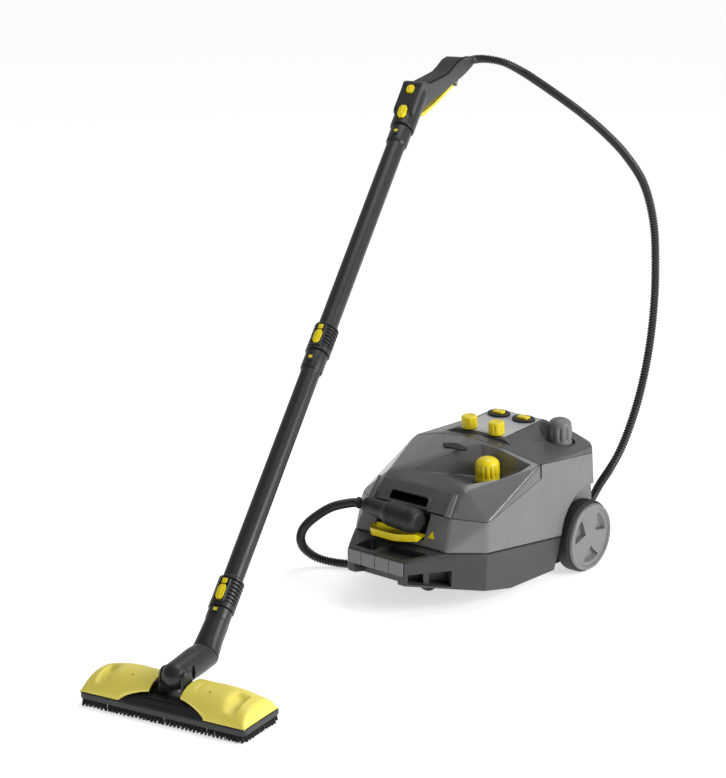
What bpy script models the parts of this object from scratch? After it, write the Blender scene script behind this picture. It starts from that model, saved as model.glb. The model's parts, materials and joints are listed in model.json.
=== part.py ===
"""A commercial steam cleaner: wheeled boiler unit, steam hose, gun, two extension tubes and a floor nozzle.

Metres, +Z up, floor at z = 0. The unit's front faces -Y. Four empties carry the assembly: the unit, the
lance (its +Z runs up along the tubes), the gun and the nozzle (its X runs along the brush).
"""

import bmesh
import bpy
from math import cos, pi, radians, sin
from mathutils import Matrix, Vector

# ---- driving dimensions -------------------------------------------------------------------------
GAP = 0.0003  # clearance between touching pieces
WALL = 0.003  # moulded shells
ROUND = 20  # sides of a round piece

UNIT_AT = (0.0725, -0.0322, 0.0)  # puts the box round everything but the hose over the origin
HALF_WIDTH = 0.142
REAR_Y = 0.465
FRONT_Y = 0.067  # front wall at the seam between base and housing
CORNER_Y = 0.128  # where the angled front corner meets the side
SEAM_Z = 0.1119  # seam height at FRONT_Y
SEAM_FALL = 0.1123  # fall of the seam per metre towards the rear
BUMPER_HALF = 0.0625
BUMPER_TOP = 0.104
BUMPER_FACE_Y = 0.004
HOOD_Z = 0.1650  # lower edge of the hood at the front
HOOD_CORNER = (0.133, 0.158)  # y, z of the hood's lower corner
SILL = (0.281, 0.201)  # y, z of the rear end of the hood's side seam
RIM_Z = 0.226  # lower edge of the console's rim above the sill
RIM_FALL = 0.095
ARCH_MIDDLE_Y, ARCH_SWEEP = 0.258, 0.020  # the seam between hood and console, seen from above

WHEEL_R = 0.065
WHEEL_Y = 0.408
WHEEL_OUTER_X = 0.160
WELL_X = 0.120
ARCH_Y, ARCH_Z, ARCH_R = 0.425, 0.070, 0.085
AXLE_R = 0.005

CASTOR_Y = 0.130
CASTOR_TRAIL = 0.018
CASTOR_R = 0.022
CASTOR_WELL_R = 0.0515
CASTOR_ROOF = 0.0715

BOILER_AT = (0.068, 0.221)
BOILER_R = 0.058
TANK_CAP_AT = (0.094, 0.396)
SCOOP_FLOOR = 0.1955
POCKET_FLOOR = 0.227
CAP_R = 0.022
CAP_HEIGHT = 0.045
NECK_R = 0.0150
KNOB_AT = (0.030, 0.296)
SWITCH_AT = (0.0275, 0.378)
DECK_FRONT = (0.285, 0.2545)  # y, z of the control deck's front edge
DECK_REAR = (0.405, 0.2640)

FASCIA_HALF = 0.0775
FASCIA_FOOT = (0.0955, 0.1668)  # y, z of the fascia's lower outer edge
FASCIA_HEAD = (0.1175, 0.1968)
SLOT_LEFT, SLOT_RIGHT = -0.053, 0.0335
SLOT_Z = (0.170, 0.184)
RECESS_LEFT, RECESS_RIGHT = -0.063, 0.0485
RECESS_Z = (0.1215, 0.1645)

SOCKET_X, SOCKET_Z = 0.026, 0.150
PLUG_Y = 0.060
PLUG_R = 0.0225
PLUG_RIGHT = (0.048, 0.1570)  # x, z of the closed end
PLUG_LEFT = (-0.0627, 0.1649)  # x, z of the hose end
FLAP_HINGE = (0.080, 0.128)  # y, z

HOSE_R = 0.0083
HOSE_STEP = 0.025
TUBE_R = 0.0165
TUBE_BORE = 0.0060
TUBE_LENGTH = 0.4988
LANCE_TURN, LANCE_RISE = radians(18.32), radians(39.86)
NECK_LENGTH = 0.077
NECK_JOINT_AT = (0.0320, -0.4413, 0.0704)  # where the neck swivels on the elbow
NOZZLE_TURN = radians(10.91)
PIVOT_AT = (0.0472, -0.5202, 0.0640)
NOZZLE_HALF, NOZZLE_FRONT, NOZZLE_REAR = 0.150, -0.0441, 0.0599  # plate, from the pivot
PLATE_TOP, PLATE_FOOT = -0.042, -0.0515
CLAMP_HINGE = (0.0545, -0.0405)  # local y, z
TRIGGER_HINGE = (0.2480, 0.0525)  # y, z in the gun's frame
HOSE_EXIT_Z = 0.0815

# Route of the steam hose in the unit's frame, from the plug to the gun.
HOSE_ROUTE = [
    (-0.0853, 0.0600, 0.1642),
    (-0.1070, 0.0600, 0.1590),
    (-0.1500, 0.0610, 0.1415),
    (-0.1900, 0.0610, 0.1135),
    (-0.2170, 0.0640, 0.0880),
    (-0.2330, 0.0730, 0.0620),
    (-0.2370, 0.0880, 0.0380),
    (-0.2260, 0.1080, 0.0185),
    (-0.2030, 0.1270, 0.0100),
    (-0.1720, 0.1430, 0.0088),
    (-0.1460, 0.1640, 0.0088),
    (-0.1260, 0.1980, 0.0088),
    (-0.0970, 0.2540, 0.0088),
    (-0.0650, 0.3110, 0.0088),
    (-0.0300, 0.3670, 0.0088),
    (0.0010, 0.4270, 0.0088),
    (0.0240, 0.4700, 0.0088),
    (0.0400, 0.5080, 0.0150),
    (0.0480, 0.5380, 0.0370),
    (0.0540, 0.5550, 0.0720),
    (0.0700, 0.5570, 0.1060),
    (0.0980, 0.5490, 0.1450),
    (0.1170, 0.5540, 0.1850),
    (0.1330, 0.5630, 0.2400),
    (0.1460, 0.5710, 0.3030),
    (0.1520, 0.5830, 0.3750),
    (0.1500, 0.5970, 0.4480),
    (0.1380, 0.6160, 0.5150),
    (0.1180, 0.6360, 0.5900),
    (0.0800, 0.6580, 0.6540),
    (0.0240, 0.6810, 0.6970),
    (-0.0340, 0.6980, 0.7290),
    (-0.0950, 0.7120, 0.7570),
    (-0.1590, 0.7270, 0.7810),
    (-0.2230, 0.7440, 0.8020),
    (-0.2700, 0.7560, 0.8160),
    (-0.3100, 0.7500, 0.8310),
    (-0.3360, 0.7270, 0.8380),
    (-0.3450, 0.7010, 0.8390),
    (-0.3377, 0.6785, 0.8387),
]


# ---- materials ----------------------------------------------------------------------------------
def linear(value):
    """A display value from 0 to 255 as the linear value that a shader takes."""
    level = value / 255
    return level / 12.92 if level <= 0.04045 else ((level + 0.055) / 1.055) ** 2.4


def material(name, rgb, roughness, metallic=0.0):
    made = bpy.data.materials.new(name)
    made.use_nodes = True
    shader = made.node_tree.nodes["Principled BSDF"]
    shader.inputs["Base Color"].default_value = (*map(linear, rgb), 1.0)
    shader.inputs["Roughness"].default_value = roughness
    shader.inputs["Metallic"].default_value = metallic
    return made


# ---- shapes -------------------------------------------------------------------------------------
def closed(bm):
    bmesh.ops.recalc_face_normals(bm, faces=bm.faces)
    return bm


def loft(rings, join_ends=False):
    """One body through rings of points, with a cap at each end, or bent round into a closed ring."""
    bm = bmesh.new()
    made = [[bm.verts.new(point) for point in ring] for ring in rings]
    pairs = list(zip(made, made[1:])) + ([(made[-1], made[0])] if join_ends else [])
    for low, high in pairs:
        for i in range(len(low)):
            j = (i + 1) % len(low)
            bm.faces.new((low[i], low[j], high[j], high[i]))
    if not join_ends:
        bm.faces.new(made[0][::-1])
        bm.faces.new(made[-1])
    return closed(bm)


def circle(centre, axis, radius, sides=ROUND, across=(1, 0, 0)):
    """Points of a circle about an axis, the first one towards `across`."""
    axis = Vector(axis).normalized()
    first = Vector(across)
    first = (first - axis * first.dot(axis)).normalized()
    second = axis.cross(first)
    turns = [2 * pi * i / sides for i in range(sides)]
    return [Vector(centre) + radius * (cos(turn) * first + sin(turn) * second) for turn in turns]


def turned(profile, axis="z", sides=ROUND, ring=False):
    """A piece turned about an axis through the origin, from (radius, height) points along that axis."""
    direction = {"x": (1, 0, 0), "y": (0, 1, 0), "z": (0, 0, 1)}[axis]
    across = (0, 0, 1) if axis == "x" else (1, 0, 0)
    rings = [circle(Vector(direction) * height, direction, radius, sides, across) for radius, height in profile]
    return loft(rings, join_ends=ring)


def extruded(outline, low, high, axis="x"):
    """A prism: an outline of (y, z) points along x, of (x, z) along y, or of (x, y) along z."""
    place = {
        "x": lambda u, v, w: (w, u, v),
        "y": lambda u, v, w: (u, w, v),
        "z": lambda u, v, w: (u, v, w),
    }[axis]
    return loft([[place(u, v, w) for u, v in outline] for w in (low, high)])


def block(x, y, z):
    return extruded([(y[0], z[0]), (y[1], z[0]), (y[1], z[1]), (y[0], z[1])], x[0], x[1])


def both_sides(points):
    return [(x * side, y, z) for x, y, z in points for side in ((1, -1) if x else (1,))]


def hull(points):
    bm = bmesh.new()
    for point in points:
        bm.verts.new(point)
    made = bmesh.ops.convex_hull(bm, input=bm.verts)
    unused = made["geom_interior"] + made["geom_unused"]
    loose = {item for item in unused if isinstance(item, bmesh.types.BMVert)}
    bmesh.ops.delete(bm, geom=list(loose), context="VERTS")
    bmesh.ops.dissolve_limit(bm, angle_limit=radians(0.5), verts=bm.verts, edges=bm.edges)
    return closed(bm)


def moved(points, by):
    return [(x + by[0], y + by[1], z + by[2]) for x, y, z in points]


# ---- objects ------------------------------------------------------------------------------------
def empty(name, at, turn=(0, 0, 0), parent=None):
    made = bpy.data.objects.new(name, None)
    made.empty_display_size = 0.05
    made.location = at
    made.rotation_euler = turn
    made.parent = parent
    bpy.context.collection.objects.link(made)
    return made


def solid(name, bm, finish, parent, at=(0, 0, 0), turn=(0, 0, 0)):
    """A named object, with its origin at `at` in its parent's frame and its mesh about that origin."""
    mesh = bpy.data.meshes.new(name)
    bm.to_mesh(mesh)
    bm.free()
    mesh.shade_smooth()
    mesh.set_sharp_from_angle(angle=radians(35))
    made = bpy.data.objects.new(name, mesh)
    made.location = at
    made.rotation_euler = turn
    made.parent = parent
    if finish:
        made.data.materials.append(finish)
    bpy.context.collection.objects.link(made)
    return made


def helper(bm, parent, at=(0, 0, 0), turn=(0, 0, 0)):
    made = solid("helper", bm, None, parent, at, turn)
    made.hide_render = True
    made.display_type = "WIRE"
    return made


def boolean(target, other, operation):
    modifier = target.modifiers.new(operation.lower(), "BOOLEAN")
    modifier.operation = operation
    modifier.object = other
    return target


def cut(target, *others):
    for other in others:
        boolean(target, other, "DIFFERENCE")
    return target


def keep(target, *regions):
    for region in regions:
        boolean(target, region, "INTERSECT")
    return target


def fuse(target, *others):
    for other in others:
        boolean(target, other, "UNION")
    return target


def seam(y):
    return SEAM_Z - SEAM_FALL * (y - FRONT_Y)


def rim(y):
    return RIM_Z - RIM_FALL * (y - SILL[0])


# ---- the unit's shells --------------------------------------------------------------------------
UPPER_SHAPE = both_sides(
    [
        (0.100, FRONT_Y, SEAM_Z),
        (HALF_WIDTH, CORNER_Y, seam(CORNER_Y)),
        (HALF_WIDTH, REAR_Y - 0.018, seam(REAR_Y)),
        (HALF_WIDTH - 0.018, REAR_Y, seam(REAR_Y)),
        (0.090, 0.093, HOOD_Z),
        (0.139, *HOOD_CORNER),
        (0.139, *SILL),
        (0.085, 0.140, 0.205),
        (0.139, 0.278, 0.227),
        (0.137, 0.436, 0.2245),
        (0.121, 0.453, 0.2245),
        (0.080, 0.455, 0.237),
        (0.070, 0.268, 0.2475),
        (0, 0.118, 0.200),
        (0, 0.160, 0.227),
        (0, 0.200, 0.243),
        (0, ARCH_MIDDLE_Y, 0.2545),
        (0, 0.456, 0.244),
    ]
)
BASE_SHAPE = both_sides(
    [
        (BUMPER_HALF, BUMPER_FACE_Y, BUMPER_TOP),
        (BUMPER_HALF, BUMPER_FACE_Y, 0.062),
        (0.101, FRONT_Y, SEAM_Z - GAP),
        (HALF_WIDTH, CORNER_Y, seam(CORNER_Y) - GAP),
        (HALF_WIDTH, REAR_Y - 0.018, seam(REAR_Y) - GAP),
        (HALF_WIDTH - 0.018, REAR_Y, seam(REAR_Y) - GAP),
        (0.139, CORNER_Y, 0.037),
        (0.139, 0.200, 0.022),
        (0.139, 0.330, 0.020),
        (0.124, 0.455, 0.020),
    ]
)
SHELL_CENTRE = Vector((0, 0.266, 0.150))
SHELL_INSET = (0.978, 0.984, 0.962)


def inset(points):
    """The same shape about one wall thickness smaller."""
    return [
        tuple(c + (p - c) * scale for p, c, scale in zip(point, SHELL_CENTRE, SHELL_INSET)) for point in points
    ]


# Where the valley's flanks meet the hood: front left, front, right side, then along the arch.
SCOOP_EDGE = [
    (-0.040, 0.143, 0.2125),
    (0.081, 0.150, 0.2100),
    (0.112, 0.200, 0.2140),
    (0.126, 0.240, 0.2210),
    (0.131, 0.266, 0.2290),
    (0.030, 0.250, 0.2520),
]


def arch_y(x):
    return ARCH_MIDDLE_Y + ARCH_SWEEP * (x / 0.139) ** 2


def scoop(grow=0.0):
    """The valley round the boiler cap: a round floor, with flanks that run up to a wide V in the hood."""
    middle = Vector((*BOILER_AT, 0))
    floor = circle((*BOILER_AT, SCOOP_FLOOR - grow), (0, 0, 1), 0.028 + grow, 16)
    edge = []
    for spot in SCOOP_EDGE:
        out = (Vector((spot[0], spot[1], 0)) - middle).normalized() * grow
        edge.append(Vector(spot) + out - Vector((0, 0, 1.1 * grow)))
    return hull(floor + edge + [(x, y, 0.262) for x, y, _ in edge])


def pocket(grow=0.0):
    """The round hollow of the tank cap."""
    low = circle((*TANK_CAP_AT, POCKET_FLOOR - grow), (0, 0, 1), 0.027 + grow)
    high = circle((*TANK_CAP_AT, 0.262), (0, 0, 1), 0.038 + grow)
    return loft([low, high])


def wheel_well(side, grow=0.0):
    arc = [
        (ARCH_Y + (ARCH_R + grow) * cos(turn), ARCH_Z + (ARCH_R + grow) * sin(turn))
        for turn in [radians(172 - 172 * i / 10) for i in range(11)]
    ]
    outline = [(0.317 - grow, -0.01)] + arc + [(ARCH_Y + ARCH_R + grow, -0.01)]
    return extruded(outline, side * (WELL_X - grow), side * 0.2)


def arm_opening(side):
    """Cutters for the opening in a front corner: a shallow frame, and a deep window on each side of its post."""
    along, inward = Vector((0.0795, 0.124)).normalized(), Vector((-0.124, 0.0795)).normalized()

    def window(start, end, depth, rim_width=0.0):
        points = []
        for reach in (start, end):
            for out in (-0.01, depth):
                x, y = Vector((BUMPER_HALF, BUMPER_FACE_Y)) + along * reach + inward * out
                points += [(side * x, y, 0.0665 - 0.17 * reach + rim_width), (side * x, y, 0.0815 - rim_width)]
        return hull(points)

    return window(0.006, 0.084, 0.007), window(0.007, 0.036, 0.028, 0.001), window(0.046, 0.083, 0.028, 0.001)


def shells(unit, grey, dark, deep):
    """Base, housing, hood and console, each cut from the outer shape, with one hollow inside them all."""
    wells = [helper(wheel_well(side), unit) for side in (1, -1)]
    inner = inset(UPPER_SHAPE)
    hollow = helper(hull(inner + moved(inner[:8], (0, 0, -0.02))), unit)
    cut(hollow, helper(scoop(WALL), unit), helper(pocket(WALL), unit))
    base_hollow = helper(
        hull(
            both_sides(
                [
                    (0.085, 0.080, 0.0785),
                    (0.1365, 0.130, 0.0420),
                    (0.1365, 0.200, 0.0265),
                    (0.1365, 0.330, 0.0245),
                    (0.121, 0.452, 0.0245),
                    (0.092, 0.080, 0.250),
                    (0.139, 0.132, 0.250),
                    (0.139, REAR_Y - 0.019, 0.250),
                    (0.122, REAR_Y - 0.003, 0.250),
                ]
            )
        ),
        unit,
    )
    castor_at = (0, CASTOR_Y, 0)
    column = turned([(CASTOR_WELL_R + WALL, 0), (CASTOR_WELL_R + WALL, CASTOR_ROOF + WALL)])
    castor_column = helper(column, unit, castor_at)
    for side in (1, -1):
        thick_well = helper(wheel_well(side, WALL), unit)
        cut(hollow, thick_well)
        cut(base_hollow, thick_well)
    cut(base_hollow, castor_column)
    axle_hole = helper(turned([(AXLE_R + GAP, -0.2), (AXLE_R + GAP, 0.2)], "x"), unit, (0, WHEEL_Y, WHEEL_R))

    base = solid("base_tray", hull(BASE_SHAPE), dark, unit)
    cut(base, base_hollow, *wells, axle_hole)
    cut(base, helper(turned([(CASTOR_WELL_R, -0.01), (CASTOR_WELL_R, CASTOR_ROOF)]), unit, castor_at))
    cut(base, helper(block((-0.048, 0.048), (-0.01, 0.028), (0.05, 0.079)), unit))
    cut(base, helper(block((-0.058, -0.014), (0.016, 0.052), (0.0765, 0.12)), unit))
    for side in (1, -1):
        cut(base, *[helper(bm, unit) for bm in arm_opening(side)])

    slope = [(-0.1, HOOD_Z), (0.093, HOOD_Z), HOOD_CORNER, SILL]
    lower = [(y, z - GAP / 2) for y, z in slope] + [(SILL[0] + GAP, SILL[1]), (SILL[0] + GAP, RIM_Z - GAP)]
    lower += [(0.6, rim(0.6) - GAP), (0.6, seam(0.6)), (-0.1, seam(-0.1))]
    housing = solid("main_housing", hull(UPPER_SHAPE), grey, unit)
    keep(housing, helper(extruded(lower, -0.2, 0.2), unit))
    cut(housing, hollow, *wells)
    cut(housing, helper(block((RECESS_LEFT, RECESS_RIGHT), (0, 0.120), RECESS_Z), unit))
    cut(housing, helper(turned([(0.0083, -0.03), (0.0083, 0.03)], "y"), unit, (-0.07, REAR_Y, 0.115)))

    upper = [(y, z + GAP / 2) for y, z in slope] + [(SILL[0], 0.4), (-0.1, 0.4)]
    steps = [-0.2 + 0.4 * i / 16 for i in range(17)]
    before = [(x, arch_y(x) - GAP / 2) for x in steps] + [(0.2, -0.1), (-0.2, -0.1)]
    behind = [(x, arch_y(x) + GAP / 2) for x in steps] + [(0.2, 0.6), (-0.2, 0.6)]
    hood = solid("hood", hull(UPPER_SHAPE), deep, unit)
    keep(hood, helper(extruded(upper, -0.2, 0.2), unit), helper(extruded(before, 0, 0.4, "z"), unit))
    cut(hood, hollow, helper(scoop(), unit))
    cut(hood, helper(block((-FASCIA_HALF - GAP, FASCIA_HALF + GAP), (0, 0.1204), (0.15, 0.3)), unit))
    cut(hood, helper(turned([(NECK_R + GAP, 0.15), (NECK_R + GAP, 0.25)]), unit, (*BOILER_AT, 0)))

    console = solid("control_console", hull(UPPER_SHAPE), dark, unit)
    over = [(0.2, rim(0.2)), (0.6, rim(0.6)), (0.6, 0.4), (0.2, 0.4)]
    keep(console, helper(extruded(over, -0.2, 0.2), unit), helper(extruded(behind, 0, 0.4, "z"), unit))
    cut(console, hollow)
    deck = both_sides(
        [
            (0.054, *DECK_FRONT),
            (0.057, *DECK_REAR),
            (0.088, 0.282, 0.2400),
            (0.085, 0.432, 0.2400),
            (0.050, 0.300, 0.2340),
            (0.050, 0.420, 0.2340),
        ]
    )
    fuse(console, helper(hull(deck), unit))
    cut(console, helper(pocket(), unit))
    cut(console, helper(turned([(NECK_R + GAP, 0.2), (NECK_R + GAP, 0.25)]), unit, (*TANK_CAP_AT, 0)))
    return console


# ---- the unit's trim ----------------------------------------------------------------------------
def deck_z(y):
    run = (y - DECK_FRONT[0]) / (DECK_REAR[0] - DECK_FRONT[0])
    return DECK_FRONT[1] + run * (DECK_REAR[1] - DECK_FRONT[1])


def on_deck(bm, name, finish, unit, x, y):
    """A piece that stands on the control deck, square to it."""
    tilt = (DECK_REAR[1] - DECK_FRONT[1]) / (DECK_REAR[0] - DECK_FRONT[0])
    return solid(name, bm, finish, unit, (x, y, deck_z(y)), (tilt, 0, 0))


def trim(unit, grey, dark, deep, yellow, silver, black):
    bar = block((-0.061, 0.061), (0, BUMPER_FACE_Y - GAP), (0.0795, 0.1030))
    strip = solid("bumper_strip", bar, grey, unit)
    for x in (-0.031, 0, 0.031):
        cut(strip, helper(block((x - 0.0012, x + 0.0012), (-0.01, 0.0012), (0.07, 0.12)), unit))

    (foot_y, foot_z), (head_y, head_z) = FASCIA_FOOT, FASCIA_HEAD
    panel = [FASCIA_FOOT, FASCIA_HEAD, (head_y + 0.0024, head_z - 0.0018), (foot_y + 0.0024, foot_z - 0.0002)]
    fascia = solid("front_fascia", extruded(panel, -FASCIA_HALF, FASCIA_HALF), deep, unit)
    cut(fascia, helper(block((SLOT_LEFT, SLOT_RIGHT), (0.05, 0.15), SLOT_Z), unit))

    def panel_back(z):
        return foot_y + 0.0036 + (z - foot_z) * (head_y - foot_y) / (head_z - foot_z)

    outer = [(panel_back(0.1675), 0.1675), (0.140, 0.1675), (0.140, 0.1885), (panel_back(0.1885), 0.1885)]
    inner = [(0.08, 0.1695), (0.138, 0.1695), (0.138, 0.1865), (0.08, 0.1865)]
    grip_cup = solid("handle_pocket", extruded(outer, SLOT_LEFT - 0.0045, SLOT_RIGHT + 0.0045), dark, unit)
    cut(grip_cup, helper(extruded(inner, SLOT_LEFT - 0.0025, SLOT_RIGHT + 0.0025), unit))

    left, right = RECESS_LEFT + GAP, RECESS_RIGHT - GAP
    low, high = RECESS_Z[0] + GAP, RECESS_Z[1] - GAP
    cup_side = [(0.0755, low), (0.0940, high), (0.1045, high), (0.1045, low)]
    cup = solid("socket_panel", extruded(cup_side, left, right), black, unit)
    room = block((left + 0.002, right - 0.002), (0.05, 0.1025), (low + 0.002, high - 0.002))
    cut(cup, helper(room, unit))
    cut(cup, helper(turned([(0.0103, 0), (0.0103, 0.2)], "y"), unit, (SOCKET_X, 0, SOCKET_Z)))
    hinge = turned([(0.0023, -0.2), (0.0023, 0.2)], "x", 8)
    cut(cup, helper(hinge, unit, (0, *FLAP_HINGE)))

    bore = helper(turned([(0.0064, -0.02), (0.0064, 0.020)], "y", 12), unit, (SOCKET_X, 0.0935, SOCKET_Z))
    socket = turned([(0.0100, 0), (0.0100, 0.026), (0.0060, 0.030)], "y")
    cut(solid("steam_socket", socket, silver, unit, (SOCKET_X, 0.0935, SOCKET_Z)), bore)

    badge_turn = (radians(17), 0, 0)
    oval = [(0.027 * cos(2 * pi * i / 16), 0.0075 * sin(2 * pi * i / 16)) for i in range(16)]
    solid("name_badge", extruded(oval, 0, 0.0012, "z"), black, unit, (0, 0.2150, 0.24785), badge_turn)
    triangle = [(-0.0070, -0.0058), (0.0070, -0.0058), (0, 0.0068)]
    face_turn = (radians(-26), 0, 0)
    plate = extruded(triangle, -0.0010, -0.0004, "y")
    solid("marker_plate", plate, yellow, unit, (0.062, 0.0775, 0.1335), face_turn)

    plate_shape = [(-0.050, -0.050), (0.050, -0.050), (0.052, 0.060), (-0.052, 0.060)]
    on_deck(extruded(plate_shape, GAP, 0.0013, "z"), "console_plate", silver, unit, 0, 0.340)
    for name, x in (("left", -SWITCH_AT[0]), ("right", SWITCH_AT[0])):
        frame = block((-0.0155, 0.0155), (-0.011, 0.011), (0.0016, 0.0056))
        bezel = on_deck(frame, f"switch_bezel_{name}", black, unit, x, SWITCH_AT[1])
        well = block((-0.0125, 0.0125), (-0.0080, 0.0080), (0.0030, 0.02))
        cut(bezel, helper(well, bezel))

    rod = turned([(AXLE_R, -0.1515), (AXLE_R, 0.1515)], "x", 16)
    solid("rear_axle", rod, silver, unit, (0, WHEEL_Y, WHEEL_R))
    gland = [(0.0080, -0.012), (0.0080, GAP), (0.0120, GAP), (0.0120, 0.005), (0.0075, 0.0097)]
    outlet = solid("cable_gland", turned(gland, "y"), black, unit, (-0.07, REAR_Y, 0.115))
    cut(outlet, helper(turned([(0.0042, -0.004), (0.0042, 0.02)], "y", 12), unit, (-0.07, REAR_Y, 0.115)))


# ---- inside the unit ----------------------------------------------------------------------------
def inner_parts(unit, steel, copper, white, dark, green):
    top = SCOOP_FLOOR + 0.0090
    dome = [(0.040, 0.048), (BOILER_R, 0.062), (BOILER_R, 0.160), (0.040, 0.1745)]
    dome += [(NECK_R, 0.178), (NECK_R, top)]
    boiler = solid("boiler", turned(dome), steel, unit, (*BOILER_AT, 0))
    cut(boiler, helper(turned([(0.0100, 0.150), (0.0100, 0.3)], sides=12), unit, (*BOILER_AT, 0)))
    ring = [circle((0.034 * cos(a), 0.034 * sin(a), 0), (-sin(a), cos(a), 0), 0.004, 8, (0, 0, 1))
            for a in [2 * pi * i / 20 for i in range(20)]]
    solid("heater_ring", loft(ring, join_ends=True), copper, unit, (*BOILER_AT, 0.0435))
    thermostat = turned([(0.011, -0.0150), (0.011, -0.0035), (0.007, 0)], "x", 12)
    solid("boiler_thermostat", thermostat, white, unit, (BOILER_AT[0] - BOILER_R - 0.0005, BOILER_AT[1], 0.110))

    tank_side = [(0.336, 0.082), (0.447, 0.082), (0.336, 0.196), (0.440, 0.200)]
    tank_shape = both_sides([(0.066, y, z) for y, z in tank_side])
    tank = solid("water_tank", hull(moved(tank_shape, (0.048, 0, 0))), white, unit)
    neck = turned([(NECK_R, 0.18), (NECK_R, POCKET_FLOOR + 0.0090)])
    fuse(tank, helper(neck, unit, (*TANK_CAP_AT, 0)))
    cut(tank, helper(turned([(0.0100, 0.12), (0.0100, 0.3)], sides=12), unit, (*TANK_CAP_AT, 0)))

    pump = turned([(0.010, -0.045), (0.021, -0.042), (0.021, 0.010), (0.015, 0.012), (0.015, 0.038)], "x")
    solid("feed_pump", pump, dark, unit, (-0.075, 0.215, 0.052))
    solid("control_board", block((-0.112, -0.026), (0.4300, 0.4316), (0.085, 0.190)), green, unit)
    pipe_route = [(0.0440, 0.1653, 0.150), (0.0370, 0.1520, 0.1505), (0.0285, 0.1390, 0.1500),
                  (SOCKET_X, 0.1310, SOCKET_Z), (SOCKET_X, 0.1240, SOCKET_Z)]
    curve_tube("steam_pipe", pipe_route, 0.0035, 0.008, copper, unit, 2)


def smooth_route(points, step):
    """Points about one step apart on the smooth curve through the route's own points."""
    ends = [2 * Vector(points[0]) - Vector(points[1])] + [Vector(p) for p in points]
    ends.append(2 * ends[-1] - ends[-2])
    fine = []
    for a, b, c, d in zip(ends, ends[1:], ends[2:], ends[3:]):
        for i in range(20):
            t = i / 20
            bend = (2 * a - 5 * b + 4 * c - d) * t * t + (3 * b - a - 3 * c + d) * t**3
            fine.append(0.5 * (2 * b + (c - a) * t + bend))
    fine.append(ends[-2])
    spans = [(q - p).length for p, q in zip(fine, fine[1:])]
    count = max(2, round(sum(spans) / step))
    spacing = sum(spans) / count
    route, walked = [fine[0]], 0.0
    for here, there, span in zip(fine, fine[1:], spans):
        while len(route) < count and walked + span >= spacing * len(route):
            route.append(here.lerp(there, (spacing * len(route) - walked) / span))
        walked += span
    return route[:count] + [fine[-1]]


def curve_tube(name, points, radius, step, finish, parent, resolution):
    data = bpy.data.curves.new(name, "CURVE")
    data.dimensions = "3D"
    data.bevel_depth = radius
    data.bevel_resolution = resolution
    data.use_fill_caps = True
    route = smooth_route(points, step)
    spline = data.splines.new("POLY")
    spline.points.add(len(route) - 1)
    for spot, place in zip(spline.points, route):
        spot.co = (*place, 1)
    made = bpy.data.objects.new(name, data)
    made.parent = parent
    data.materials.append(finish)
    bpy.context.collection.objects.link(made)
    return made


# ---- what moves on the unit ---------------------------------------------------------------------
def running_gear(unit, grey, black, steel):
    for side, name in ((-1, "left"), (1, "right")):
        tyre = [(0.0490, 0.127), (0.0600, 0.127), (WHEEL_R, 0.131), (WHEEL_R, 0.149), (0.0612, 0.1537)]
        tyre.append((0.0490, 0.1537))
        tyre = [(radius, side * x) for radius, x in tyre]
        at = (0, WHEEL_Y, WHEEL_R)
        solid(f"wheel_tyre_{name}", turned(tyre, "x", 32, ring=True), black, unit, at)
        hub = [(0.0120, 0.1240), (0.0120, 0.130), (0.0487, 0.130), (0.0487, 0.1541), (0.0605, 0.1541)]
        hub += [(0.0605, 0.1580), (0.0570, WHEEL_OUTER_X)]
        wheel = solid(f"wheel_hub_{name}", turned([(r, side * x) for r, x in hub], "x", 32), grey, unit, at)
        bore = turned([(AXLE_R + GAP, side * 0.10), (AXLE_R + GAP, side * 0.1530)], "x", 16)
        cut(wheel, helper(bore, unit, at))

    swivel = empty("castor_swivel", (0, CASTOR_Y, 0), parent=unit)
    top = CASTOR_ROOF - GAP
    side_view = [(-0.013, top), (-0.013, 0.056), (0.011, 0.016), (0.025, 0.016), (0.027, top)]
    fork = solid("castor_fork", extruded(side_view, -0.0140, 0.0140), black, swivel)
    cut(fork, helper(block((-0.0100, 0.0100), (-0.03, 0.05), (0, 0.0550)), swivel))
    cut(fork, helper(turned([(0.0028, -0.02), (0.0028, 0.02)], "x", 12), swivel, (0, CASTOR_TRAIL, CASTOR_R)))
    at = (0, CASTOR_TRAIL, CASTOR_R)
    solid("castor_axle", turned([(0.0025, -0.0150), (0.0025, 0.0150)], "x", 12), steel, swivel, at)
    tread = [(0.0028, -0.0090), (0.0200, -0.0090), (CASTOR_R, -0.0065)]
    tread += [(radius, -x) for radius, x in tread[::-1]]
    solid("castor_wheel", turned(tread, "x", 24, ring=True), grey, swivel, at)


def screw_cap(name, unit, at, floor, height, finish, black):
    """A domed screw cap over a neck, with its flat seal on the neck's rim."""
    x, y = at
    dome = [(0.0205, 0.0012), (CAP_R, 0.005), (CAP_R, height - 0.018), (0.0200, height - 0.007), (0.0150, height)]
    cap = solid(name, turned(dome, sides=24), finish, unit, (x, y, floor))
    cut(cap, helper(turned([(NECK_R + 0.0008, -0.01), (NECK_R + 0.0008, 0.0125)]), unit, (x, y, floor)))
    seal = [(0.0105, 0.0093), (0.0146, 0.0093), (0.0146, 0.0118), (0.0105, 0.0118)]
    solid(f"{name}_seal", turned(seal, sides=16, ring=True), black, unit, (x, y, floor))


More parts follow.
